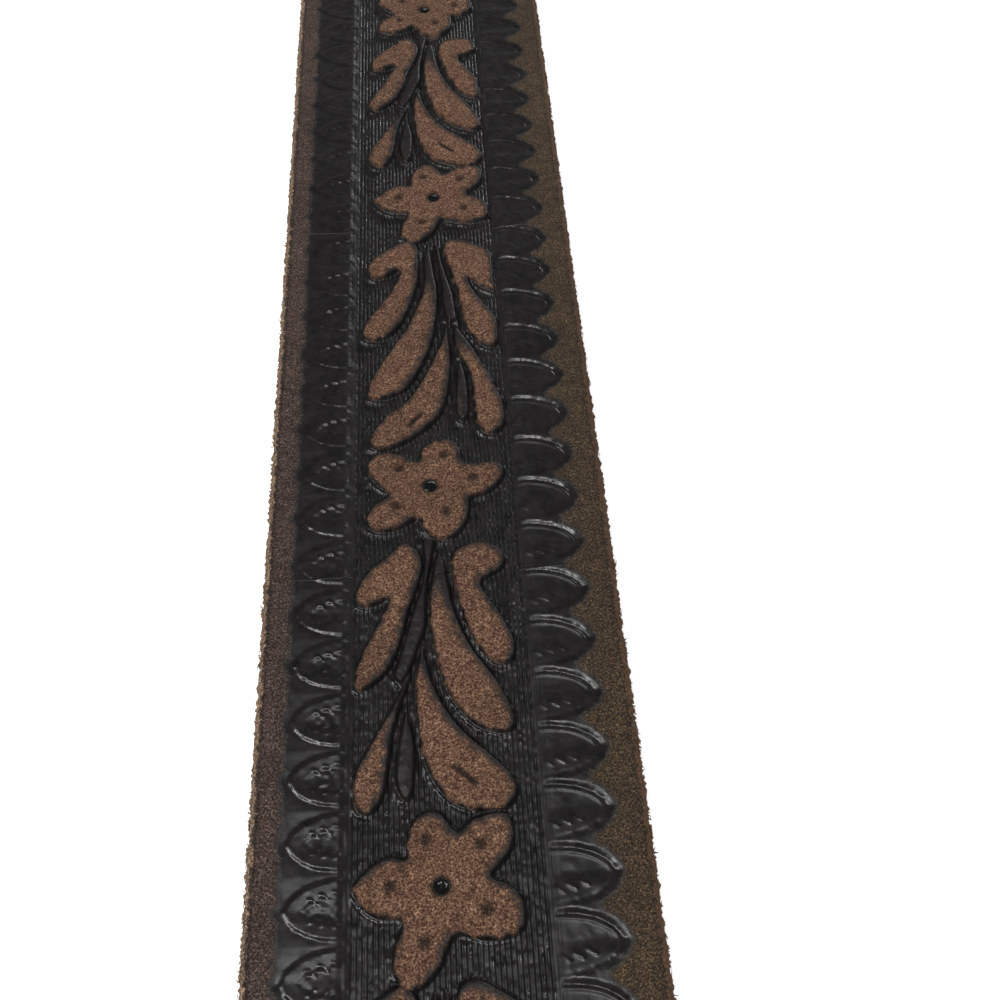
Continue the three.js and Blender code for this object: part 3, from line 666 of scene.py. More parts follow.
def unroll(mesh, section):
    """Unrolls a length of the strap on a flat map, with its two cut ends beside it."""
    rows, count = section.shape[:2]
    girth = np.linalg.norm(np.diff(section[0], axis=0, append=section[0, :1])[:, ::2], axis=1)
    share = np.concatenate([[0], np.cumsum(girth)]) / girth.sum()
    along = np.linspace(0, 0.9, rows)
    columns = np.arange(count)
    across = np.stack([share[columns], share[columns + 1], share[columns + 1], share[columns]], -1)
    low = np.repeat(along[:-1], count)
    high = np.repeat(along[1:], count)
    u = np.tile(across, (rows - 1, 1))[:, ::-1]
    v = np.stack([low, low, high, high], -1)[:, ::-1]
    sides = np.stack([u, v], -1).reshape(-1, 2)
    outline = section[0][:, ::2]
    size = 2 * HALF_WIDTH + 2
    near = np.stack([0.25 + outline[:, 0] / size / 2.2, 0.93 + outline[:, 1] / size / 2.2], -1)
    far = near + (0.5, 0)
    layer = mesh.uv_layers.new(name="OFBake")
    layer.data.foreach_set("uv", np.concatenate([sides, near[::-1], far]).astype(np.float32).ravel())


COLOUR_MIX = {"data_type": "RGBA", "out": 2}  # a Mix node's setting and output where it mixes colours


def node(tree, kind, links=None, out=0, **settings):
    """Adds a shader node and gives its output called out, or the node itself where it has none.

    Settings are its properties; links go from socket name to a value or an output.
    """
    made = tree.nodes.new(kind)
    for name, value in settings.items():
        setattr(made, name, value)
    for socket, source in (links or {}).items():
        target = made.inputs[socket]
        if isinstance(source, bpy.types.NodeSocket):
            tree.links.new(source, target)
        else:
            target.default_value = source
    return made.outputs[out] if len(made.outputs) else made


def new_material(name):
    """A bare material, its node tree, and the surface's own places in millimetres."""
    made = bpy.data.materials.new(name)
    made.use_nodes = True
    tree = made.node_tree
    tree.nodes.clear()
    place = node(tree, "ShaderNodeTexCoord", out="Object")
    place = node(tree, "ShaderNodeVectorMath", {0: place, 1: (1 / MM,) * 3}, operation="MULTIPLY")
    return made, tree, place


def tooled_leather(leather):
    """Vegetable-tanned cowhide, carved, its ground dyed near black and its raised motifs rubbed to a nap.

    The dyed ground keeps a dull wax gloss and the stamped arches a brighter one, the nap scatters light like
    nubuck with pale fibres among dark pits, and the undyed margins are the same fibre, rubbed with the dye.
    The colour also holds painted shade in the ground's grooves, round the motifs' feet and on the nap's
    sides away from the high lights, and painted light and shade on the two cut edges.
    """
    made, tree, place = new_material("carved_vegetable_tanned_cowhide")
    finishes = node(tree, "ShaderNodeAttribute", attribute_name="tooling", out="Color")
    edge = finishes.node.outputs["Alpha"]
    parts = node(tree, "ShaderNodeSeparateColor", {0: finishes}).node.outputs
    polish = node(tree, "ShaderNodeAttribute", attribute_name="polish", out="Fac")
    fine = node(tree, "ShaderNodeTexNoise", {
        "Vector": place, "Scale": 1 / 0.2, "Detail": 2.5, "Roughness": 0.7})
    soft = node(tree, "ShaderNodeTexNoise", {"Vector": place, "Scale": 1 / 1.1, "Detail": 3.0})
    wide = node(tree, "ShaderNodeTexNoise", {"Vector": place, "Scale": 1 / 6.0, "Detail": 2.0})

    # Pale fibres: thin lines where a noise of 0.5 mm lumps crosses its middle value, with pits between them
    curls = node(tree, "ShaderNodeTexNoise", {"Vector": place, "Scale": 1 / 0.5, "Detail": 1.5})
    off_middle = node(tree, "ShaderNodeMath", {0: curls, 1: 0.5}, operation="SUBTRACT")
    off_middle = node(tree, "ShaderNodeMath", {0: off_middle}, operation="ABSOLUTE")
    fibres = node(tree, "ShaderNodeMapRange", {0: off_middle, 1: 0.0, 2: 0.045, 3: 1.0, 4: 0.0})
    pits = node(tree, "ShaderNodeMapRange", {0: fine, 1: 0.34, 2: 0.7})
    pits = node(tree, "ShaderNodeMath", {0: pits, 1: 2.2}, operation="POWER")
    nap_fibres = node(tree, "ShaderNodeMath", {0: fibres, 1: 0.2}, operation="MULTIPLY")
    speckle = node(tree, "ShaderNodeMath", {0: pits, 1: 0.62, 2: nap_fibres}, operation="MULTIPLY_ADD")
    patches = node(tree, "ShaderNodeMapRange", {0: soft, 1: 0.3, 2: 0.7, 3: 0.7, 4: 1.25})
    speckle = node(tree, "ShaderNodeMath", {0: speckle, 1: patches}, operation="MULTIPLY")
    # The nap darkens towards its edges, most widely on the sides away from the high lights: partly fibre
    # less rubbed, partly painted shade
    wear_and_shade = node(tree, "ShaderNodeMapRange", {0: parts[0], 1: 0.1, 2: 1.0, 3: 0.2, 4: 1.0})
    wear_and_shade = node(tree, "ShaderNodeMath", {0: speckle, 1: wear_and_shade}, operation="MULTIPLY")
    nap_colour = node(tree, "ShaderNodeMix", {
        0: wear_and_shade, 6: tuple(leather.nap_dark), 7: tuple(leather.nap_light)}, **COLOUR_MIX)

    ground_share = node(tree, "ShaderNodeMath", {0: fine, 1: 0.4, 2: soft}, operation="MULTIPLY_ADD")
    ground_share = node(tree, "ShaderNodeMapRange", {0: ground_share, 1: 0.45, 2: 0.95, 3: 0.2, 4: 0.8})
    ground_colour = node(tree, "ShaderNodeMix", {
        0: ground_share, 6: tuple(leather.ground_dark), 7: tuple(leather.ground_light)}, **COLOUR_MIX)

    # The left margin is redder than the right one
    across = node(tree, "ShaderNodeSeparateXYZ", {0: place})
    rightness = node(tree, "ShaderNodeMapRange", {0: across, 1: -MARGIN_TURN, 2: MARGIN_TURN})
    margin_light = node(tree, "ShaderNodeMix", {
        0: rightness, 6: tuple(leather.margin_left), 7: tuple(leather.margin_right)}, **COLOUR_MIX)
    margin_colour = node(tree, "ShaderNodeMix", {
        0: speckle, 6: tuple(leather.margin_dark), 7: margin_light}, **COLOUR_MIX)
    # The cut edge: light on the left, painted light, and dark on the right, painted shade
    edge_lit_and_shaded = node(tree, "ShaderNodeMix", {
        0: rightness, 6: tuple(leather.edge_lit_left), 7: tuple(leather.edge_shaded_right)}, **COLOUR_MIX)
    edge_share = node(tree, "ShaderNodeMath", {0: pits, 1: 0.8, 2: nap_fibres}, operation="MULTIPLY_ADD")
    edge_colour = node(tree, "ShaderNodeMix", {
        0: edge_share, 6: tuple(leather.edge_dark), 7: edge_lit_and_shaded}, **COLOUR_MIX)

    # Each finish gives way to the next along a ragged line
    ragged = node(tree, "ShaderNodeMapRange", {0: fine, 1: 0.0, 2: 1.0, 3: -0.45, 4: 0.45})
    masks = []
    for share, low, high in ((parts[1], 0.24, 1.05), (parts[0], 0.25, 0.9), (edge, 0.3, 0.8)):
        mask = node(tree, "ShaderNodeMath", {0: share, 1: ragged}, operation="ADD")
        masks.append(node(tree, "ShaderNodeMapRange", {0: mask, 1: low, 2: high}))
    margin_mask, nap_mask, edge_mask = masks
    # Towards ground_dark by the line finish: painted shade in the grooves and round the motifs' feet, and
    # the dark pits and the dark line by the cut edge
    shade_and_dark_mark_mask = node(tree, "ShaderNodeMath", {0: parts[2], 1: 0.85}, operation="MULTIPLY")
    colour = ground_colour
    for mask, finish in ((margin_mask, margin_colour), (nap_mask, nap_colour),
                         (shade_and_dark_mark_mask, tuple(leather.ground_dark)), (edge_mask, edge_colour)):
        colour = node(tree, "ShaderNodeMix", {0: mask, 6: colour, 7: finish}, **COLOUR_MIX)
    wear = node(tree, "ShaderNodeMapRange", {0: wide, 1: 0.3, 2: 0.7, 3: 0.88, 4: 1.1})
    colour = node(tree, "ShaderNodeMix", {0: 1.0, 6: colour, 7: wear}, blend_type="MULTIPLY", **COLOUR_MIX)

    fibrous = node(tree, "ShaderNodeMath", {0: nap_mask, 1: edge_mask}, operation="MAXIMUM")
    fibrous = node(tree, "ShaderNodeMath", {0: fibrous, 1: margin_mask}, operation="MAXIMUM")
    gloss = node(tree, "ShaderNodeMapRange", {0: polish, 1: -1.0, 2: 1.0, 3: 0.66, 4: 0.12})
    gloss = node(tree, "ShaderNodeMath", {0: fine, 1: 0.12, 2: gloss}, operation="MULTIPLY_ADD")
    roughness = node(tree, "ShaderNodeMix", {0: fibrous, 2: gloss, 3: 0.92})
    fuzz = node(tree, "ShaderNodeMapRange", {0: fibrous, 1: 0.0, 2: 1.0, 3: 0.1, 4: 1.1})
    fuzz = node(tree, "ShaderNodeMath", {0: fine, 1: fuzz}, operation="MULTIPLY")
    bump = node(tree, "ShaderNodeBump", {"Strength": 0.9, "Distance": 0.09 * MM, "Height": fuzz})
    shader = node(tree, "ShaderNodeBsdfPrincipled", {
        "Base Color": colour, "Roughness": roughness, "Normal": bump,
        "IOR": 1.5, "Specular IOR Level": 0.22})
    node(tree, "ShaderNodeOutputMaterial", {0: shader})
    return made


def flesh_side():
    """The hide's unfinished flesh side: short matted fibre that looks flat and dusty."""
    made, tree, place = new_material("flesh_side_split_cowhide")
    fibre = node(tree, "ShaderNodeTexNoise", {
        "Vector": place, "Scale": 1 / 0.5, "Detail": 4.0, "Roughness": 0.7})
    cloud = node(tree, "ShaderNodeTexNoise", {"Vector": place, "Scale": 1 / 5.0, "Detail": 2.0})
    share = node(tree, "ShaderNodeMath", {0: cloud, 1: 0.5, 2: fibre}, operation="MULTIPLY_ADD")
    share = node(tree, "ShaderNodeMapRange", {0: share, 1: 0.5, 2: 1.0})
    colour = node(tree, "ShaderNodeMix", {
        0: share, 6: linear("#5a4534"), 7: linear("#8e7458")}, **COLOUR_MIX)
    bump = node(tree, "ShaderNodeBump", {"Strength": 0.8, "Distance": 0.15 * MM, "Height": fibre})
    shader = node(tree, "ShaderNodeBsdfPrincipled", {
        "Base Color": colour, "Roughness": 0.95, "Normal": bump, "IOR": 1.5})
    node(tree, "ShaderNodeOutputMaterial", {0: shader})
    return made


def finished_leather():
    """Dyed and waxed strap leather for the keeper: dark brown, evenly low in gloss, with a pebbled grain."""
    made, tree, place = new_material("waxed_keeper_leather")
    cloud = node(tree, "ShaderNodeTexNoise", {"Vector": place, "Scale": 1 / 3.0, "Detail": 3.0})
    fine = node(tree, "ShaderNodeTexNoise", {"Vector": place, "Scale": 1 / 0.2, "Detail": 2.0})
    pebble = node(tree, "ShaderNodeTexVoronoi", {"Vector": place, "Scale": 1 / 0.55}, feature="SMOOTH_F1")
    dye = node(tree, "ShaderNodeMapRange", {0: cloud, 1: 0.3, 2: 0.7})
    colour = node(tree, "ShaderNodeMix", {0: dye, 6: linear("#221a15"), 7: linear("#3d2e24")}, **COLOUR_MIX)
    relief = node(tree, "ShaderNodeMath", {0: fine, 1: 0.4, 2: pebble}, operation="MULTIPLY_ADD")
    bump = node(tree, "ShaderNodeBump", {"Strength": 0.5, "Distance": 0.06 * MM, "Height": relief})
    roughness = node(tree, "ShaderNodeMapRange", {0: cloud, 1: 0.3, 2: 0.7, 3: 0.42, 4: 0.58})
    shader = node(tree, "ShaderNodeBsdfPrincipled", {
        "Base Color": colour, "Roughness": roughness, "Normal": bump, "IOR": 1.5})
    node(tree, "ShaderNodeOutputMaterial", {0: shader})
    return made


def antique_nickel(metal):
    """Cast zinc plated with nickel and antiqued: dark in its low grain, rubbed bright on its high parts."""
    made, tree, place = new_material("antiqued_nickel_plate")
    cloud = node(tree, "ShaderNodeTexNoise", {
        "Vector": place, "Scale": 1 / 4.0, "Detail": 4.0, "Roughness": 0.65})
    grit = node(tree, "ShaderNodeTexNoise", {"Vector": place, "Scale": 1 / 0.35, "Detail": 3.0})
    high = node(tree, "ShaderNodeNewGeometry", out="Pointiness")
    high = node(tree, "ShaderNodeMapRange", {0: high, 1: 0.46, 2: 0.56})
    rubbed = node(tree, "ShaderNodeMapRange", {0: cloud, 1: 0.35, 2: 0.75, 3: -0.2, 4: 0.3})
    rubbed = node(tree, "ShaderNodeMath", {0: high, 1: rubbed}, operation="ADD")
    rubbed = node(tree, "ShaderNodeMapRange", {0: rubbed, 1: 0.2, 2: 0.9})
    colour = node(tree, "ShaderNodeMix", {
        0: rubbed, 6: tuple(metal.dark), 7: tuple(metal.wear_and_shade)}, **COLOUR_MIX)
    bump = node(tree, "ShaderNodeBump", {"Strength": 0.35, "Distance": 0.05 * MM, "Height": grit})
    roughness = node(tree, "ShaderNodeMapRange", {0: cloud, 1: 0.3, 2: 0.7, 3: 0.26, 4: 0.46})
    shader = node(tree, "ShaderNodeBsdfPrincipled", {
        "Base Color": colour, "Roughness": roughness, "Normal": bump, "Metallic": 1.0})
    node(tree, "ShaderNodeOutputMaterial", {0: shader})
    return made


def paper_floor(stage):
    """Matte white paper over a light table, whose glow keeps the belt's shadow faint."""
    made, tree, _ = new_material("matte_white_paper")
    shader = node(tree, "ShaderNodeBsdfPrincipled", {
        "Base Color": tuple(stage.floor), "Roughness": 0.9, "Specular IOR Level": 0.2,
        "Emission Color": tuple(stage.floor), "Emission Strength": stage.floor_glow})
    node(tree, "ShaderNodeOutputMaterial", {0: shader})
    return made


def material_named(name, make, *settings):
    """The material of that name, made the first time it is asked for."""
    return bpy.data.materials.get(name) or make(*settings)


def strap_materials(context):
    leather = context.scene.belt_leather
    return [
        material_named("carved_vegetable_tanned_cowhide", tooled_leather, leather),
        material_named("flesh_side_split_cowhide", flesh_side),
    ]


def top_columns(ridge_pitch, fine):
    """Places across the strap's face: on the ridges' crests and flanks, wider apart towards the edges."""
    steps = 4 if fine else 2
    ridge_step = ridge_pitch / steps
    inner = np.arange(0, PANEL_HALF + 0.25, ridge_step)
    arch_step = 0.14 if fine else 0.31
    outer_step = 0.26 if fine else 0.6
    middle = np.arange(inner[-1] + arch_step, 16.4, arch_step)
    outer = np.arange(middle[-1] + outer_step, HALF_WIDTH - 0.3, outer_step)
    half = np.concatenate([inner, middle, outer, [HALF_WIDTH - EDGE_ROUNDING]])
    return np.concatenate([-half[:0:-1], half])


# The cut edge from the face down to the flesh side: how far out past the face's last column, and the height.
EDGE_PROFILE = [
    {"out": 0.16, "up": 2.45},
    {"out": 0.3, "up": 2.0},
    {"out": 0.22, "up": 1.4},
    {"out": 0.28, "up": 0.7},
    {"out": 0.12, "up": 0.1},
]


def strap_length(name, low_y, high_y, row_step, fine, leather):
    """One length of the flat tooled strap, closed all round: carved face, cut edges and flesh side."""
    rows = max(2, int(round((high_y - low_y) / row_step)) + 1)
    columns = top_columns(leather.ridge_pitch, fine)
    x, y = np.meshgrid(columns, np.linspace(low_y - SEAM_LAP, high_y + SEAM_LAP, rows))
    tooling = Tooling(x, y, leather)
    for index in range(MOTIF_COUNT):
        tooling.add_motif(index)
    height, finishes = tooling.finish()
    top = np.stack([x, y, LEATHER + height], -1)
    sides = []
    for way in (-1, 1):
        ring = []
        along = y[:, :1]
        for step in EDGE_PROFILE:
            out = step["out"] + 0.2 * value_noise(along + way * 40, 0 * along + step["up"] * 3, 0.3, 14)
            out += 0.08 * value_noise(along + way * 90, 0 * along, 1.1, 15)
            out = np.clip(out, 0.02, 0.65)
            ring.append(np.stack([way * (columns[-1] + out), along, 0 * along + step["up"]], -1))
        sides.append(np.concatenate(ring, 1))
    section = np.concatenate([sides[0][:, ::-1], top, sides[1]], 1)
    count = section.shape[1]
    edge_finish = np.zeros((rows, len(EDGE_PROFILE), 5))
    edge_finish[..., 3] = 1
    painted = np.concatenate([edge_finish, finishes, edge_finish], 1)
    quads = grid_faces(rows, count, True)
    last = (rows - 1) * count
    ends = [np.arange(count)[None], np.arange(last, last + count)[::-1][None]]
    under = (np.arange(len(quads)) % count) == count - 1
    numbers = np.concatenate([under.astype(int), [0, 0]])
    faces = [quads[:, ::-1], *[end[:, ::-1] for end in ends]]
    piece = mesh_object(name, section.reshape(-1, 3), faces, numbers, flat=2)
    paint(piece.data, painted.reshape(-1, 5))
    unroll(piece.data, section)
    return piece


class BELT_OT_tooled_field(bpy.types.Operator):
    """Builds the strap's tooled field in lengths, finest where the camera looks"""

    bl_idname = "belt.tooled_field"
    bl_label = "Tooled field"

    def execute(self, context):
        leather = context.scene.belt_leather
        # Low and high places from the picture's middle row, and the distance between rows of vertices
        close = [
            {"low": CLOSE_LOW, "high": -9.0, "row_step": 0.15},
            {"low": -9.0, "high": 43.0, "row_step": 0.165},
            {"low": 43.0, "high": CLOSE_HIGH, "row_step": 0.19},
        ]
        lengths = [(SEEN_Y + row["low"], SEEN_Y + row["high"], row["row_step"], True) for row in close]
        far = [
            {"from": FIELD_START - FIELD_MARGIN, "to": SEEN_Y + CLOSE_LOW},
            {"from": SEEN_Y + CLOSE_HIGH, "to": FIELD_END + FIELD_MARGIN},
        ]
        for row in far:
            halfway = (row["from"] + row["to"]) / 2
            lengths += [(row["from"], halfway, FAR_STEP, False), (halfway, row["to"], FAR_STEP, False)]
        for number, (low, high, row_step, fine) in enumerate(lengths, 1):
            piece = strap_length(f"strap_field_{number}", low, high, row_step, fine, leather)
            settle(piece, "strap", strap_materials(context))
        return {"FINISHED"}


def bent_path(step=1.0):
    """The buckle end from the side: places on the tooled face and on the flesh side, from the field's start,
    round the heel bar and back under. Places are [station, y, z] and y is measured from the heel bar's axis.
    """
    tooled = []
    flesh = []
    raised_top = RAISED_LOW + LEATHER
    for y in np.arange(FIELD_START - FIELD_MARGIN - BAR_Y, 0, -step):
        if y > FLAP_LENGTH:
            rise = smooth_step(0, 1, (FLAP_LENGTH + LANDING_LENGTH - y) / LANDING_LENGTH)
            tooled.append((y, LEATHER + (raised_top - LEATHER) * rise))
            flesh.append((y, RAISED_LOW * rise))
        else:
            rise = smooth_step(0, 1, (CLOSING_LENGTH - y) / CLOSING_LENGTH)
            tooled.append((y, raised_top + (FOLD_TOP - raised_top) * rise))
            flesh.append((y, RAISED_LOW + (BAR_Z + FOLD_INNER - RAISED_LOW) * rise))
    for turn in np.linspace(0, math.pi, 21):
        tooled.append((-FOLD_OUTER * math.sin(turn), BAR_Z + FOLD_OUTER * math.cos(turn)))
        flesh.append((-FOLD_INNER * math.sin(turn), BAR_Z + FOLD_INNER * math.cos(turn)))
    for y in np.append(np.arange(step, FLAP_LENGTH, step), FLAP_LENGTH):
        tooled.append((y, FLAP_LOW))
        flesh.append((y, FLAP_LOW + FLAP_LEATHER))
    tooled = np.array(tooled)
    flesh = np.array(flesh)
    middle = (tooled + flesh) / 2
    stations = np.concatenate([[0], np.cumsum(np.linalg.norm(np.diff(middle, axis=0), axis=1))])
    return stations, tooled, flesh


def flat_strap(name, stations, half_widths, thickness=LEATHER):
    """A straight strap with rounded edges, laid along Y by its stations, whose face is at the thickness."""
    inner = np.linspace(-1, 1, 25)
    rows = []
    for station, half in zip(stations, half_widths):
        edge = [(half - EDGE_ROUNDING, thickness - 0.06), (half - 0.06, thickness - 0.35),
                (half, thickness * 0.6), (half - 0.02, thickness * 0.3), (half - 0.12, 0.06)]
        top = [(share * (half - 0.9), thickness) for share in inner]
        low = [(share * (half - 0.9), 0.0) for share in inner[::-1]]
        section = [(-x, z) for x, z in edge[::-1]] + top + edge + low
        rows.append([(x, station, z) for x, z in section])
    return skin(name, rows)


def cutter(outline, low=CUT_LOW, high=CUT_HIGH):
    """An upright prism to cut with, from an outline of [x, y] points."""
    rows = [[(x, y, z) for x, y in outline] for z in (low, high)]
    return skin("cutter", rows)


def circle(x, y, radius, sides=32):
    turns = np.arange(sides) / sides * 2 * math.pi
    return [(x + radius * math.cos(turn), y + radius * math.sin(turn)) for turn in turns]


def cut_away(piece, cutters):
    """Cuts the cutters out of the piece and drops them."""
    for tool in cutters:
        cut = piece.modifiers.new("cut", "BOOLEAN")
        cut.operation = "DIFFERENCE"
        cut.solver = "EXACT"
        cut.object = tool
    depsgraph = bpy.context.evaluated_depsgraph_get()
    carved = bpy.data.meshes.new_from_object(piece.evaluated_get(depsgraph))
    piece.modifiers.clear()
    piece.data = carved
    for tool in cutters:
        bpy.data.objects.remove(tool)


def coordinates(mesh):
    points = np.empty(len(mesh.vertices) * 3)
    mesh.vertices.foreach_get("co", points)
    return points.reshape(-1, 3) / MM


def move_points(mesh, points):
    mesh.vertices.foreach_set("co", (np.asarray(points) * MM).ravel())
    mesh.update()


def plain_finish(piece, points):
    """Finishes for untooled leather: undyed margin colour, raw at the cut edges, the flesh side beneath."""
    finishes = np.zeros((len(points), 5))
    finishes[:, 1] = 1
    side = np.abs(points[:, 0]) + 0.25 * value_noise(points[:, 0], points[:, 1], 0.6, 21)
    finishes[:, 3] = smooth_step(HALF_WIDTH - 0.6, HALF_WIDTH, side)
    paint(piece.data, finishes)


class BELT_OT_buckle_end(bpy.types.Operator):
    """Builds the strap's plain end, turned back round the heel bar, with its slot and post holes"""

    bl_idname = "belt.buckle_end"
    bl_label = "Buckle end"

    def execute(self, context):
        stations, tooled, flesh = bent_path()
        piece = flat_strap("strap_buckle_end", stations, np.full(len(stations), HALF_WIDTH))

        def on_top(distance):
            """The station of a place on the strap, from the heel bar's axis."""
            half = np.argmax(tooled[:, 0] <= 0) + 1
            return np.interp(-distance, -tooled[:half, 0], stations[:half])

        def on_flap(distance):
            half = len(tooled) - int(FLAP_LENGTH) - 2
            return np.interp(distance, tooled[half:, 0], stations[half:])

        slot = []
        for turn in np.linspace(0, math.pi, 13):
            slot.append((SLOT_HALF * math.cos(turn), on_flap(SLOT_END) - SLOT_HALF * (1 - math.sin(turn))))
        for turn in np.linspace(math.pi, 2 * math.pi, 13):
            slot.append((SLOT_HALF * math.cos(turn), on_top(SLOT_END) + SLOT_HALF * (1 + math.sin(turn))))
        tools = [cutter(slot)]
        for name in ("front_post", "rear_post"):
            low, high = cad_box(name)
            distance = (low[1] + high[1]) / 2 - BAR_Y
            foot = high[0] + LAYER_GAP
            tools.append(cutter(circle(0, on_top(distance), POST_RADIUS + LAYER_GAP)))
            tools.append(cutter(circle(0, on_flap(distance), POST_RADIUS + LAYER_GAP)))
            sunk = LEATHER * (1 - (FOOT_HEIGHT + LAYER_GAP) / FLAP_LEATHER)
            tools.append(cutter(circle(0, on_flap(distance), foot, 48), sunk))
        cut_away(piece, tools)
        flat = coordinates(piece.data)
        share = flat[:, 2:] / LEATHER
        upper = np.stack([np.interp(flat[:, 1], stations, tooled[:, axis]) for axis in (0, 1)], -1)
        lower = np.stack([np.interp(flat[:, 1], stations, flesh[:, axis]) for axis in (0, 1)], -1)
        bent = lower * (1 - share) + upper * share
        points = np.stack([flat[:, 0], bent[:, 0] + BAR_Y, bent[:, 1]], -1)
        points[:, 2] += 0.03 * value_noise(flat[:, 0], flat[:, 1], 2.2, 1) * (flat[:, 2] > LEATHER - 0.2)
        points[:, 2] = np.maximum(points[:, 2], 0)
        move_points(piece.data, points)
        plain_finish(piece, points)
        mark_underside(piece.data, flat[:, 2])
        settle(piece, "strap", strap_materials(context))
        return {"FINISHED"}


def mark_underside(mesh, depths):
    """Gives the faces on the flesh side their own finish and sharpens the cut rims."""
    for face in mesh.polygons:
        heights = [depths[vertex] for vertex in face.vertices]
        face.material_index = 1 if max(heights) < 0.2 else 0
        face.use_smooth = True
    mesh.set_sharp_from_angle(angle=math.radians(50))


class BELT_OT_tip(bpy.types.Operator):
    """Builds the strap's plain tip, with its rounded point and punched holes"""

    bl_idname = "belt.tip"
    bl_label = "Punched tip"

    def execute(self, context):
        start = FIELD_END + FIELD_MARGIN
        shoulder = TIP_Y - TIP_NARROWING
        shares = np.linspace(0, 1, 28)
        places = np.concatenate([np.arange(start, shoulder - 0.5, 1.5),
                                 shoulder + TIP_NARROWING * np.sin(shares * math.pi / 2)])
        widths = 1 - (1 - TIP_BLUNTNESS) * shares**2
        widths = np.concatenate([np.full(len(places) - len(shares), 1.0), widths])
        piece = flat_strap("strap_tip", places, HALF_WIDTH * widths)
        tools = [cutter(circle(0, BAR_Y + place, HOLE_RADIUS)) for place in HOLE_PLACES]
        cut_away(piece, tools)
        points = coordinates(piece.data)
        mark_underside(piece.data, points[:, 2].copy())
        plain_finish(piece, points)
        settle(piece, "strap", strap_materials(context))
        return {"FINISHED"}


def rounded_bar(half_x, half_z, corner, steps=5):
    """A rounded rectangle as [x, z] points."""
    points = []
    for quarter in range(4):
        turn = quarter * math.pi / 2
        middle_x = (half_x - corner) * (1 if quarter in (0, 3) else -1)
        middle_z = (half_z - corner) * (1 if quarter in (0, 1) else -1)
        for part in np.linspace(0, math.pi / 2, steps):
            way = turn + part
            points.append((middle_x + corner * math.cos(way), middle_z + corner * math.sin(way)))
    return np.array(points)


def tilted_to_rest(piece):
    """Turns a piece about the heel bar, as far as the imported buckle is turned, and lifts it into place."""
    turn = math.asin((BAR_Z - BAR_RADIUS) / BUCKLE_REACH)
    points = coordinates(piece.data)
    y = points[:, 1] * math.cos(turn) - points[:, 2] * math.sin(turn)
    z = points[:, 1] * math.sin(turn) + points[:, 2] * math.cos(turn)
    move_points(piece.data, np.stack([points[:, 0], y + BAR_Y, z + BAR_Z], -1))


class BELT_OT_buckle(bpy.types.Operator):
    """Builds the buckle's frame with its heel bar, and its tongue"""

    bl_idname = "belt.buckle"
    bl_label = "Buckle"

    def execute(self, context):
        metal = [material_named("antiqued_nickel_plate", antique_nickel, context.scene.belt_metal)]
        arm = ARM_WIDTH / 2
        middle_x = BUCKLE_HIGH[0] - arm
        front = -BUCKLE_REACH + FRONT_WIDTH / 2
        corner = FRAME_CORNER - arm
        spine = [(-middle_x, HEEL_END, 0.0)]
        spine += [(-middle_x, y, 0.0) for y in np.linspace(HEEL_END - 1.2, front + corner + 1.0, 12)]
        for part in np.linspace(0, math.pi / 2, 9):
            x = corner * (1 - math.cos(part)) - middle_x
            spine.append((x, front + corner * (1 - math.sin(part)), part))
        spine += [(x, front, math.pi / 2) for x in np.linspace(-middle_x + corner + 1.5, 0, 10)]
        spine += [(-x, y, math.pi - turn) for x, y, turn in spine[-2::-1]]
        rows = []
        for x, y, turn in spine:
            wide = arm + (FRONT_WIDTH / 2 - arm) * math.sin(turn)
            section = rounded_bar(wide, BAR_RADIUS, BUCKLE_ROUNDING)
            outward = (-math.cos(turn), -math.sin(turn))
            rows.append([(x + outward[0] * a, y + outward[1] * a, b) for a, b in section])
        rows = rounded_ends(np.array(rows), 1.0)
        frame_piece = skin("buckle_frame", rows)
        turns = np.linspace(0, 2 * math.pi, 33)[:-1]
        bar_rows = []
        for x in np.linspace(-middle_x, middle_x, 24):
            ring = [(x, BAR_RADIUS * math.cos(turn), BAR_RADIUS * math.sin(turn)) for turn in turns]
            bar_rows.append(ring)
        bar = skin("buckle_heel_bar", bar_rows)
        tongue = tongue_piece()
        eye = tongue_eye()
        for piece in (frame_piece, bar, tongue, eye):
            tilted_to_rest(piece)
            settle(piece, "buckle", metal)
        return {"FINISHED"}


def rounded_ends(rows, reach):
    """Rounds off a row of sections at both ends, within the length it already has."""
    shares = np.linspace(0, 1, 5)
    near = []
    far = []
    for share in shares[:-1]:
        shrink = 1 - 0.35 * (1 - share) ** 2
        near.append(end_section(rows[0], rows[1], reach * share, shrink))
        far.append(end_section(rows[-1], rows[-2], reach * share, shrink))
    return np.concatenate([near, rows[1:-1], far[::-1]])


def end_section(end, neighbour, reach, shrink):
    middle = end.mean(0)
    inward = neighbour.mean(0) - middle
    inward /= np.linalg.norm(inward)
    return middle + (end - middle) * shrink + inward * reach


def tongue_piece():
    """The tongue's arm: it leaves the eye, lies on the front bar and narrows to a rounded end."""
    low = BAR_RADIUS + LAYER_GAP
    end = -BUCKLE_REACH - TONGUE_OVERHANG
    start = -(BAR_RADIUS + EYE_WALL) * 0.35
    rows = []
    shares = np.concatenate([np.linspace(0, 0.94, 26), [0.965, 0.985, 0.996, 1.0]])
    for share in shares:
        y = start + (end - start) * share
        thick = TONGUE_THICKNESS * (1 - 0.5 * smooth_step(0, 1, share))
        wide = TONGUE_WIDTH * (1 - 0.16 * share)
        closing = math.sqrt(max(0.02, 1 - max(0, (share - 0.94) / 0.06) ** 2))
        section = rounded_bar(wide / 2 * closing, thick / 2 * closing, 0.62 * closing)
        lowest = low if share > 0.12 else low - 0.4 * (0.12 - share) / 0.12
        rows.append([(a, y, lowest + thick / 2 + b) for a, b in section])
    return skin("buckle_tongue", rows)


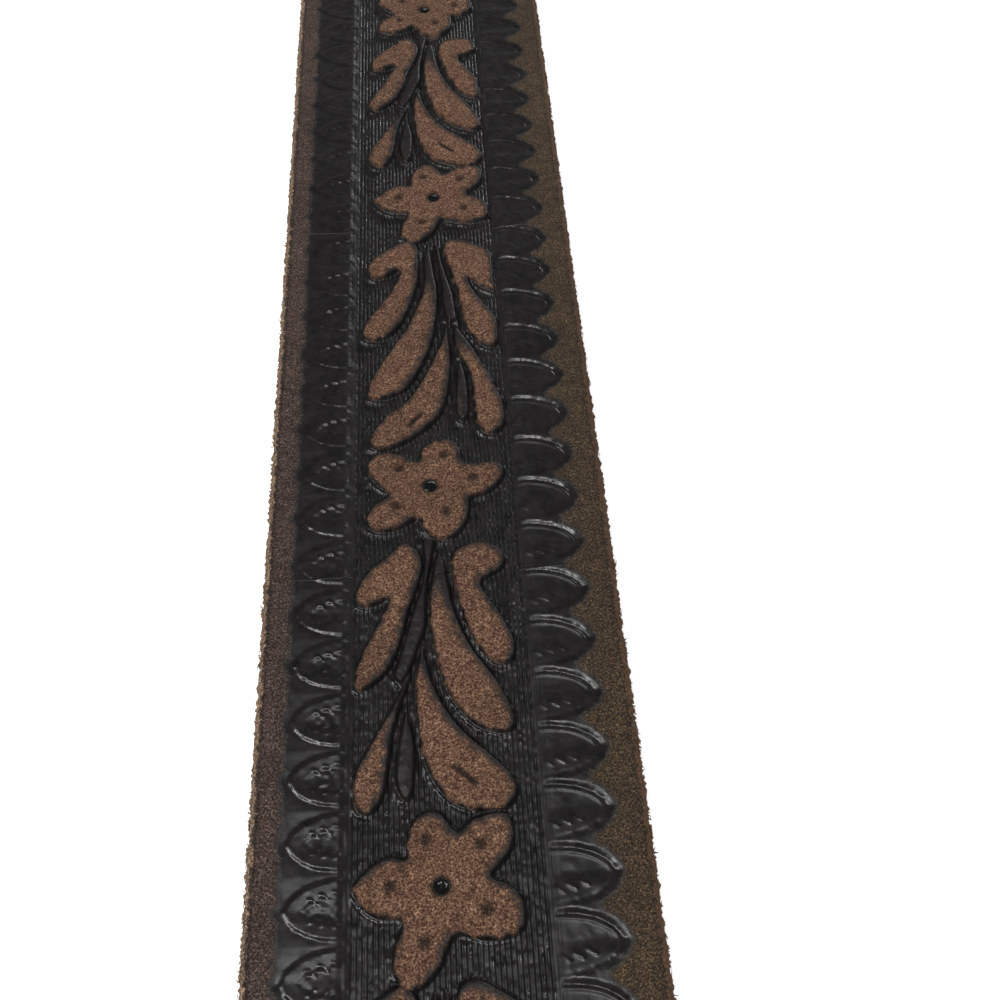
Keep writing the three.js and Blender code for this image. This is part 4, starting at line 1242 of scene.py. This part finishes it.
def tongue_eye():
    """The tongue's eye, a rounded ring round the heel bar."""
    middle = BAR_RADIUS + EYE_WALL / 2
    section = rounded_bar(TONGUE_WIDTH / 2, EYE_WALL / 2 + 0.02, 0.5)
    rows = []
    for turn in np.linspace(0, 2 * math.pi, 41)[:-1]:
        rows.append([(a, (middle + b) * math.cos(turn), (middle + b) * math.sin(turn)) for a, b in section])
    return skin("buckle_tongue_eye", rows, ring=True)


def lathe(name, profile, x, y, sides=48):
    """A solid turned about an upright axis, from [radius, z] points that start and end on the axis."""
    turns = np.linspace(0, 2 * math.pi, sides + 1)[:-1]
    rows = []
    for radius, z in profile:
        rows.append([(x + radius * math.cos(turn), y + radius * math.sin(turn), z) for turn in turns])
    return skin(name, rows)


class BELT_OT_posts(bpy.types.Operator):
    """Turns the two posts that hold the turned-back end"""

    bl_idname = "belt.posts"
    bl_label = "Posts"

    def execute(self, context):
        metal = [material_named("antiqued_nickel_plate", antique_nickel, context.scene.belt_metal)]
        for name in ("front_post", "rear_post"):
            low, high = cad_box(name)
            head = high[0]
            neck = high[2] - HEAD_HEIGHT
            bottom = low[2]
            foot = bottom + FOOT_HEIGHT
            profile = [
                (0.15, bottom), (head - 0.35, bottom), (head - 0.08, bottom + 0.12), (head, bottom + 0.35),
                (head - 0.05, bottom + 0.62), (head - 0.4, foot), (POST_RADIUS + 0.15, foot),
                (POST_RADIUS, foot + 0.15), (POST_RADIUS, neck - 0.1), (POST_RADIUS + 0.1, neck),
                (head - 0.4, neck), (head - 0.08, neck + 0.1),
            ]
            for part in np.linspace(0, 1, 14):
                turn = part * math.pi / 2
                rise = 0.28 + (HEAD_HEIGHT - 0.28) * math.sin(turn) ** 0.9
                profile.append((max(0.12, head * math.cos(turn) ** 0.72), neck + rise))
            piece = lathe(f"{name}_turned", profile, 0, (low[1] + high[1]) / 2)
            piece.data.set_sharp_from_angle(angle=math.radians(40))
            settle(piece, name, metal)
        return {"FINISHED"}


class BELT_OT_keeper(bpy.types.Operator):
    """Builds the leather keeper, a loop with rounded corners and edges"""

    bl_idname = "belt.keeper"
    bl_label = "Keeper"

    def execute(self, context):
        low, high = KEEPER_LOW, KEEPER_HIGH
        middle_y = (low[1] + high[1]) / 2
        wide = (high[1] - low[1]) / 2
        half = KEEPER_LEATHER / 2
        path = rounded_bar(high[0] - half, (high[2] - low[2]) / 2 - half, KEEPER_CORNER - half, steps=9)
        path = refine_loop(path, 2.0)
        forward = np.roll(path, -1, 0) - np.roll(path, 1, 0)
        normal = np.stack([forward[:, 1], -forward[:, 0]], -1)
        normal /= np.linalg.norm(normal, axis=1)[:, None]
        across = rounded_bar(wide, half, 0.55, steps=5)
        rows = []
        for place, (nx, nz) in zip(path, normal):
            x, z = place[0], place[1] + (high[2] + low[2]) / 2
            rows.append([(x + nx * b, middle_y + a, z + nz * b) for a, b in across])
        piece = skin("keeper_loop", rows, ring=True)
        piece.data.set_sharp_from_angle(angle=math.radians(70))
        settle(piece, "keeper", [material_named("waxed_keeper_leather", finished_leather)])
        return {"FINISHED"}


def refine_loop(path, step):
    """A closed path with points added so that none are further apart than step."""
    refined = []
    for here, there in zip(path, np.roll(path, -1, 0)):
        parts = max(1, int(math.ceil(np.linalg.norm(there - here) / step)))
        refined += [here + (there - here) * part / parts for part in range(parts)]
    kept = [refined[0]]
    for place in refined[1:]:
        if np.linalg.norm(place - kept[-1]) > 1e-3:
            kept.append(place)
    return np.array(kept)


class BELT_OT_edge_fibres(bpy.types.Operator):
    """Grows loose fibres on the raw cut edges, closest where the camera looks"""

    bl_idname = "belt.edge_fibres"
    bl_label = "Edge fibres"

    def execute(self, context):
        leather = context.scene.belt_leather
        close_low, close_high = SEEN_Y + CLOSE_LOW, SEEN_Y + CLOSE_HIGH
        stretches = [
            {"from": FIELD_START, "to": close_low, "per_mm": FAR_FIBRES},
            {"from": close_low, "to": close_high, "per_mm": leather.fibres_per_mm},
            {"from": close_high, "to": TIP_Y - TIP_NARROWING, "per_mm": FAR_FIBRES},
        ]
        material = material_named("raw_leather_fibre", loose_fibre, leather)
        for side, label in ((-1, "left"), (1, "right")):
            chance = np.random.default_rng(31 + side)
            roots = []
            for row in stretches:
                count = int((row["to"] - row["from"]) * row["per_mm"])
                roots.append(chance.uniform(row["from"], row["to"], count))
            y = np.concatenate(roots)
            tufts = y[::4].repeat(4)[: len(y)]
            y = np.where(chance.random(len(y)) < 0.7, tufts + chance.normal(0, 0.09, len(y)), y)
            points, faces = fibre_mesh(side, y, chance)
            piece = mesh_object(f"edge_fibres_{label}", points, faces)
            settle(piece, "strap", [material])
        return {"FINISHED"}


def fibre_mesh(side, y, chance):
    """Thin tapered fibres rooted at places along one cut edge: three-sided, with one bend."""
    count = len(y)
    length = 0.16 + 0.34 * chance.random(count) ** 2.5
    length = np.where(chance.random(count) < 0.01, chance.uniform(0.6, 1.1, count), length)
    thick = chance.uniform(0.05, 0.11, count)
    root = np.stack([np.full(count, side * (HALF_WIDTH - 0.12)), y, chance.uniform(0.3, 2.85, count)], -1)
    lean = chance.normal(0, 0.7, count // 4 + 1).repeat(4)[:count] + chance.normal(0, 0.35, count)
    rise = chance.normal(0.25, 0.55, count)
    way = np.stack([np.full(count, float(side)), lean, rise], -1)
    way /= np.linalg.norm(way, axis=1)[:, None]
    bend = np.stack([-0.3 * side + 0 * y, chance.normal(0, 0.7, count), chance.normal(0, 0.5, count)], -1)
    bend *= length[:, None]
    frame_y = np.cross(way, [0, 0, 1.0])
    frame_y /= np.linalg.norm(frame_y, axis=1)[:, None]
    frame_z = np.cross(way, frame_y)
    rings = []
    for share, slim in ((0, 1.0), (0.55, 0.75)):
        middle = root + way * length[:, None] * share + bend * share**2
        for turn in (0, 2.094, 4.189):  # a third of a turn apart
            offset = frame_y * math.cos(turn) + frame_z * math.sin(turn)
            rings.append(middle + offset * (thick * slim)[:, None])
    tip = root + way * length[:, None] + bend
    points = np.stack([*rings, tip], 1).reshape(-1, 3)
    points[:, 2] = np.maximum(points[:, 2], 0.02)
    base = np.arange(count)[:, None] * 7
    quads = np.concatenate([base + [k, (k + 1) % 3, 3 + (k + 1) % 3, 3 + k] for k in range(3)])
    tips = np.concatenate([base + [3 + k, 3 + (k + 1) % 3, 6] for k in range(3)] + [base + [2, 1, 0]])
    return points, [quads, tips]


def loose_fibre(leather):
    """Raw collagen fibre at the cut edge: matt tan, a little lighter than the edge that it grows from."""
    made, tree, place = new_material("raw_leather_fibre")
    share = node(tree, "ShaderNodeTexNoise", {"Vector": place, "Scale": 1 / 0.9, "Detail": 1.0})
    share = node(tree, "ShaderNodeMapRange", {0: share, 1: 0.35, 2: 0.65})
    across = node(tree, "ShaderNodeSeparateXYZ", {0: place})
    rightness = node(tree, "ShaderNodeMapRange", {0: across, 1: -MARGIN_TURN, 2: MARGIN_TURN})
    # Light on the left and dark on the right, as on the cut edge: painted light and painted shade
    light = node(tree, "ShaderNodeMix", {
        0: rightness, 6: tuple(leather.edge_lit_left), 7: tuple(leather.edge_shaded_right)}, **COLOUR_MIX)
    colour = node(tree, "ShaderNodeMix", {0: share, 6: tuple(leather.edge_dark), 7: light}, **COLOUR_MIX)
    shader = node(tree, "ShaderNodeBsdfPrincipled", {"Base Color": colour, "Roughness": 0.8, "IOR": 1.5})
    node(tree, "ShaderNodeOutputMaterial", {0: shader})
    return made


class BELT_OT_stage(bpy.types.Operator):
    """Lays the pale floor, sets the lights and places the camera by the strap's edges in the photo"""

    bl_idname = "belt.stage"
    bl_label = "Stage, lights and camera"

    def execute(self, context):
        stage = context.scene.belt_stage
        corners = [(a * FLOOR_REACH, b * FLOOR_REACH, 0) for a, b in ((-1, -1), (1, -1), (1, 1), (-1, 1))]
        floor = mesh_object("floor", corners, [np.array([[0, 1, 2, 3]])], flat=1)
        floor.location.z = -0.02 * MM
        floor.data.materials.append(paper_floor(stage))

        world = bpy.data.worlds.new("soft_studio")
        context.scene.world = world
        world.use_nodes = True
        sky = world.node_tree
        sky.nodes.clear()
        # The backdrop is as white as the floor to the eye, and lights the belt only a little
        seen = node(sky, "ShaderNodeLightPath", out="Is Camera Ray")
        strength = node(sky, "ShaderNodeMapRange", {
            0: seen, 1: 0.0, 2: 1.0, 3: stage.room_light, 4: BACKDROP})
        backdrop = node(sky, "ShaderNodeBackground", {0: linear("#eef1f5"), 1: strength})
        node(sky, "ShaderNodeOutputWorld", {0: backdrop})

        place_camera(context)
        # Where each light comes from, seen from the belt, and how wide it looks from there, in degrees
        lights = [
            {"name": "window_left", "from": (-0.64, -0.12, 0.75), "wide": 10, "power": stage.window_light},
            {"name": "window_middle", "from": (-0.34, -0.12, 0.93), "wide": 10, "power": stage.window_light},
            {"name": "window_right", "from": (0.0, -0.12, 0.99), "wide": 10, "power": stage.window_light},
            {"name": "fill_light", "from": (0.3, -0.72, 0.63), "wide": 60, "power": stage.fill_light},
            {"name": "low_light", "from": (0.5, 0.82, 0.27), "wide": 12, "power": stage.low_light},
        ]
        for row in lights:
            lamp = bpy.data.lights.new(row["name"], "SUN")
            lamp.angle = math.radians(row["wide"])
            lamp.energy = row["power"]
            holder = bpy.data.objects.new(row["name"], lamp)
            holder.location = Vector(row["from"])
            holder.rotation_euler = Vector(row["from"]).to_track_quat("Z", "Y").to_euler()
            holder.visible_glossy = row["name"] != "fill_light"
            context.scene.collection.objects.link(holder)
        context.scene.view_settings.view_transform = "Standard"
        context.scene.view_settings.look = "None"
        return {"FINISHED"}


def place_camera(context):
    """Puts the camera where the strap's two edges run as they do in the photo."""
    middle = PHOTO_PIXELS / 2
    vanish_y = (LEFT_AT_TOP - RIGHT_AT_TOP) / (RIGHT_SLOPE - LEFT_SLOPE)
    vanish_x = LEFT_AT_TOP + LEFT_SLOPE * vanish_y
    along = Vector((vanish_x - middle, middle - vanish_y, -FOCAL_PIXELS)).normalized()
    up = Vector((1, 0, 0)).cross(along).normalized()
    up = up if up.z > 0 else -up
    across = along.cross(up)

    def on_strap(pixel_x, pixel_y):
        """Where a pixel's ray meets a plane one unit below the camera."""
        ray = Vector((pixel_x - middle, middle - pixel_y, -FOCAL_PIXELS))
        return ray / -ray.dot(up)

    left = on_strap(LEFT_AT_TOP + LEFT_SLOPE * middle, middle)
    right = on_strap(RIGHT_AT_TOP + RIGHT_SLOPE * middle, middle)
    height = 2 * HALF_WIDTH / (right - left).dot(across)
    seen = (left + right) / 2 * height
    place = Vector((-seen.dot(across), SEEN_Y - seen.dot(along), LEATHER + height)) * MM
    turn = Matrix((across, along, up)).to_4x4()
    lens = bpy.data.cameras.new("photo_camera")
    lens.sensor_fit = "HORIZONTAL"
    lens.sensor_width = SENSOR
    lens.lens = SENSOR * FOCAL_PIXELS / PHOTO_PIXELS
    lens.clip_start = NEAR_CLIP_M
    camera = bpy.data.objects.new("photo_camera", lens)
    camera.matrix_world = Matrix.Translation(place) @ turn
    context.scene.collection.objects.link(camera)
    context.scene.camera = camera


class BELT_PT_panel(bpy.types.Panel):
    """The belt's settings and the buttons that build it"""

    bl_label = "Tooled belt"
    bl_idname = "BELT_PT_panel"
    bl_space_type = "VIEW_3D"
    bl_region_type = "UI"
    bl_category = "Belt"

    def draw(self, context):
        for operator in OPERATORS:
            self.layout.operator(operator.bl_idname)
        for group in ("belt_leather", "belt_metal", "belt_stage"):
            settings = getattr(context.scene, group)
            for name in settings.__annotations__:
                self.layout.prop(settings, name)


OPERATORS = [
    BELT_OT_stage, BELT_OT_tooled_field, BELT_OT_buckle_end, BELT_OT_tip, BELT_OT_edge_fibres,
    BELT_OT_buckle, BELT_OT_posts, BELT_OT_keeper,
]
CLASSES = [BeltLeather, BeltMetal, BeltStage, *OPERATORS, BELT_PT_panel]


def register():
    for kind in CLASSES:
        bpy.utils.register_class(kind)
    bpy.types.Scene.belt_leather = bpy.props.PointerProperty(type=BeltLeather)
    bpy.types.Scene.belt_metal = bpy.props.PointerProperty(type=BeltMetal)
    bpy.types.Scene.belt_stage = bpy.props.PointerProperty(type=BeltStage)


def unregister():
    del bpy.types.Scene.belt_leather
    del bpy.types.Scene.belt_metal
    del bpy.types.Scene.belt_stage
    for kind in reversed(CLASSES):
        bpy.utils.unregister_class(kind)


def main():
    register()
    for operator in OPERATORS:
        piece = operator.bl_idname.split(".")[1]
        getattr(bpy.ops.belt, piece)()


if __name__ == "__main__":
    main()
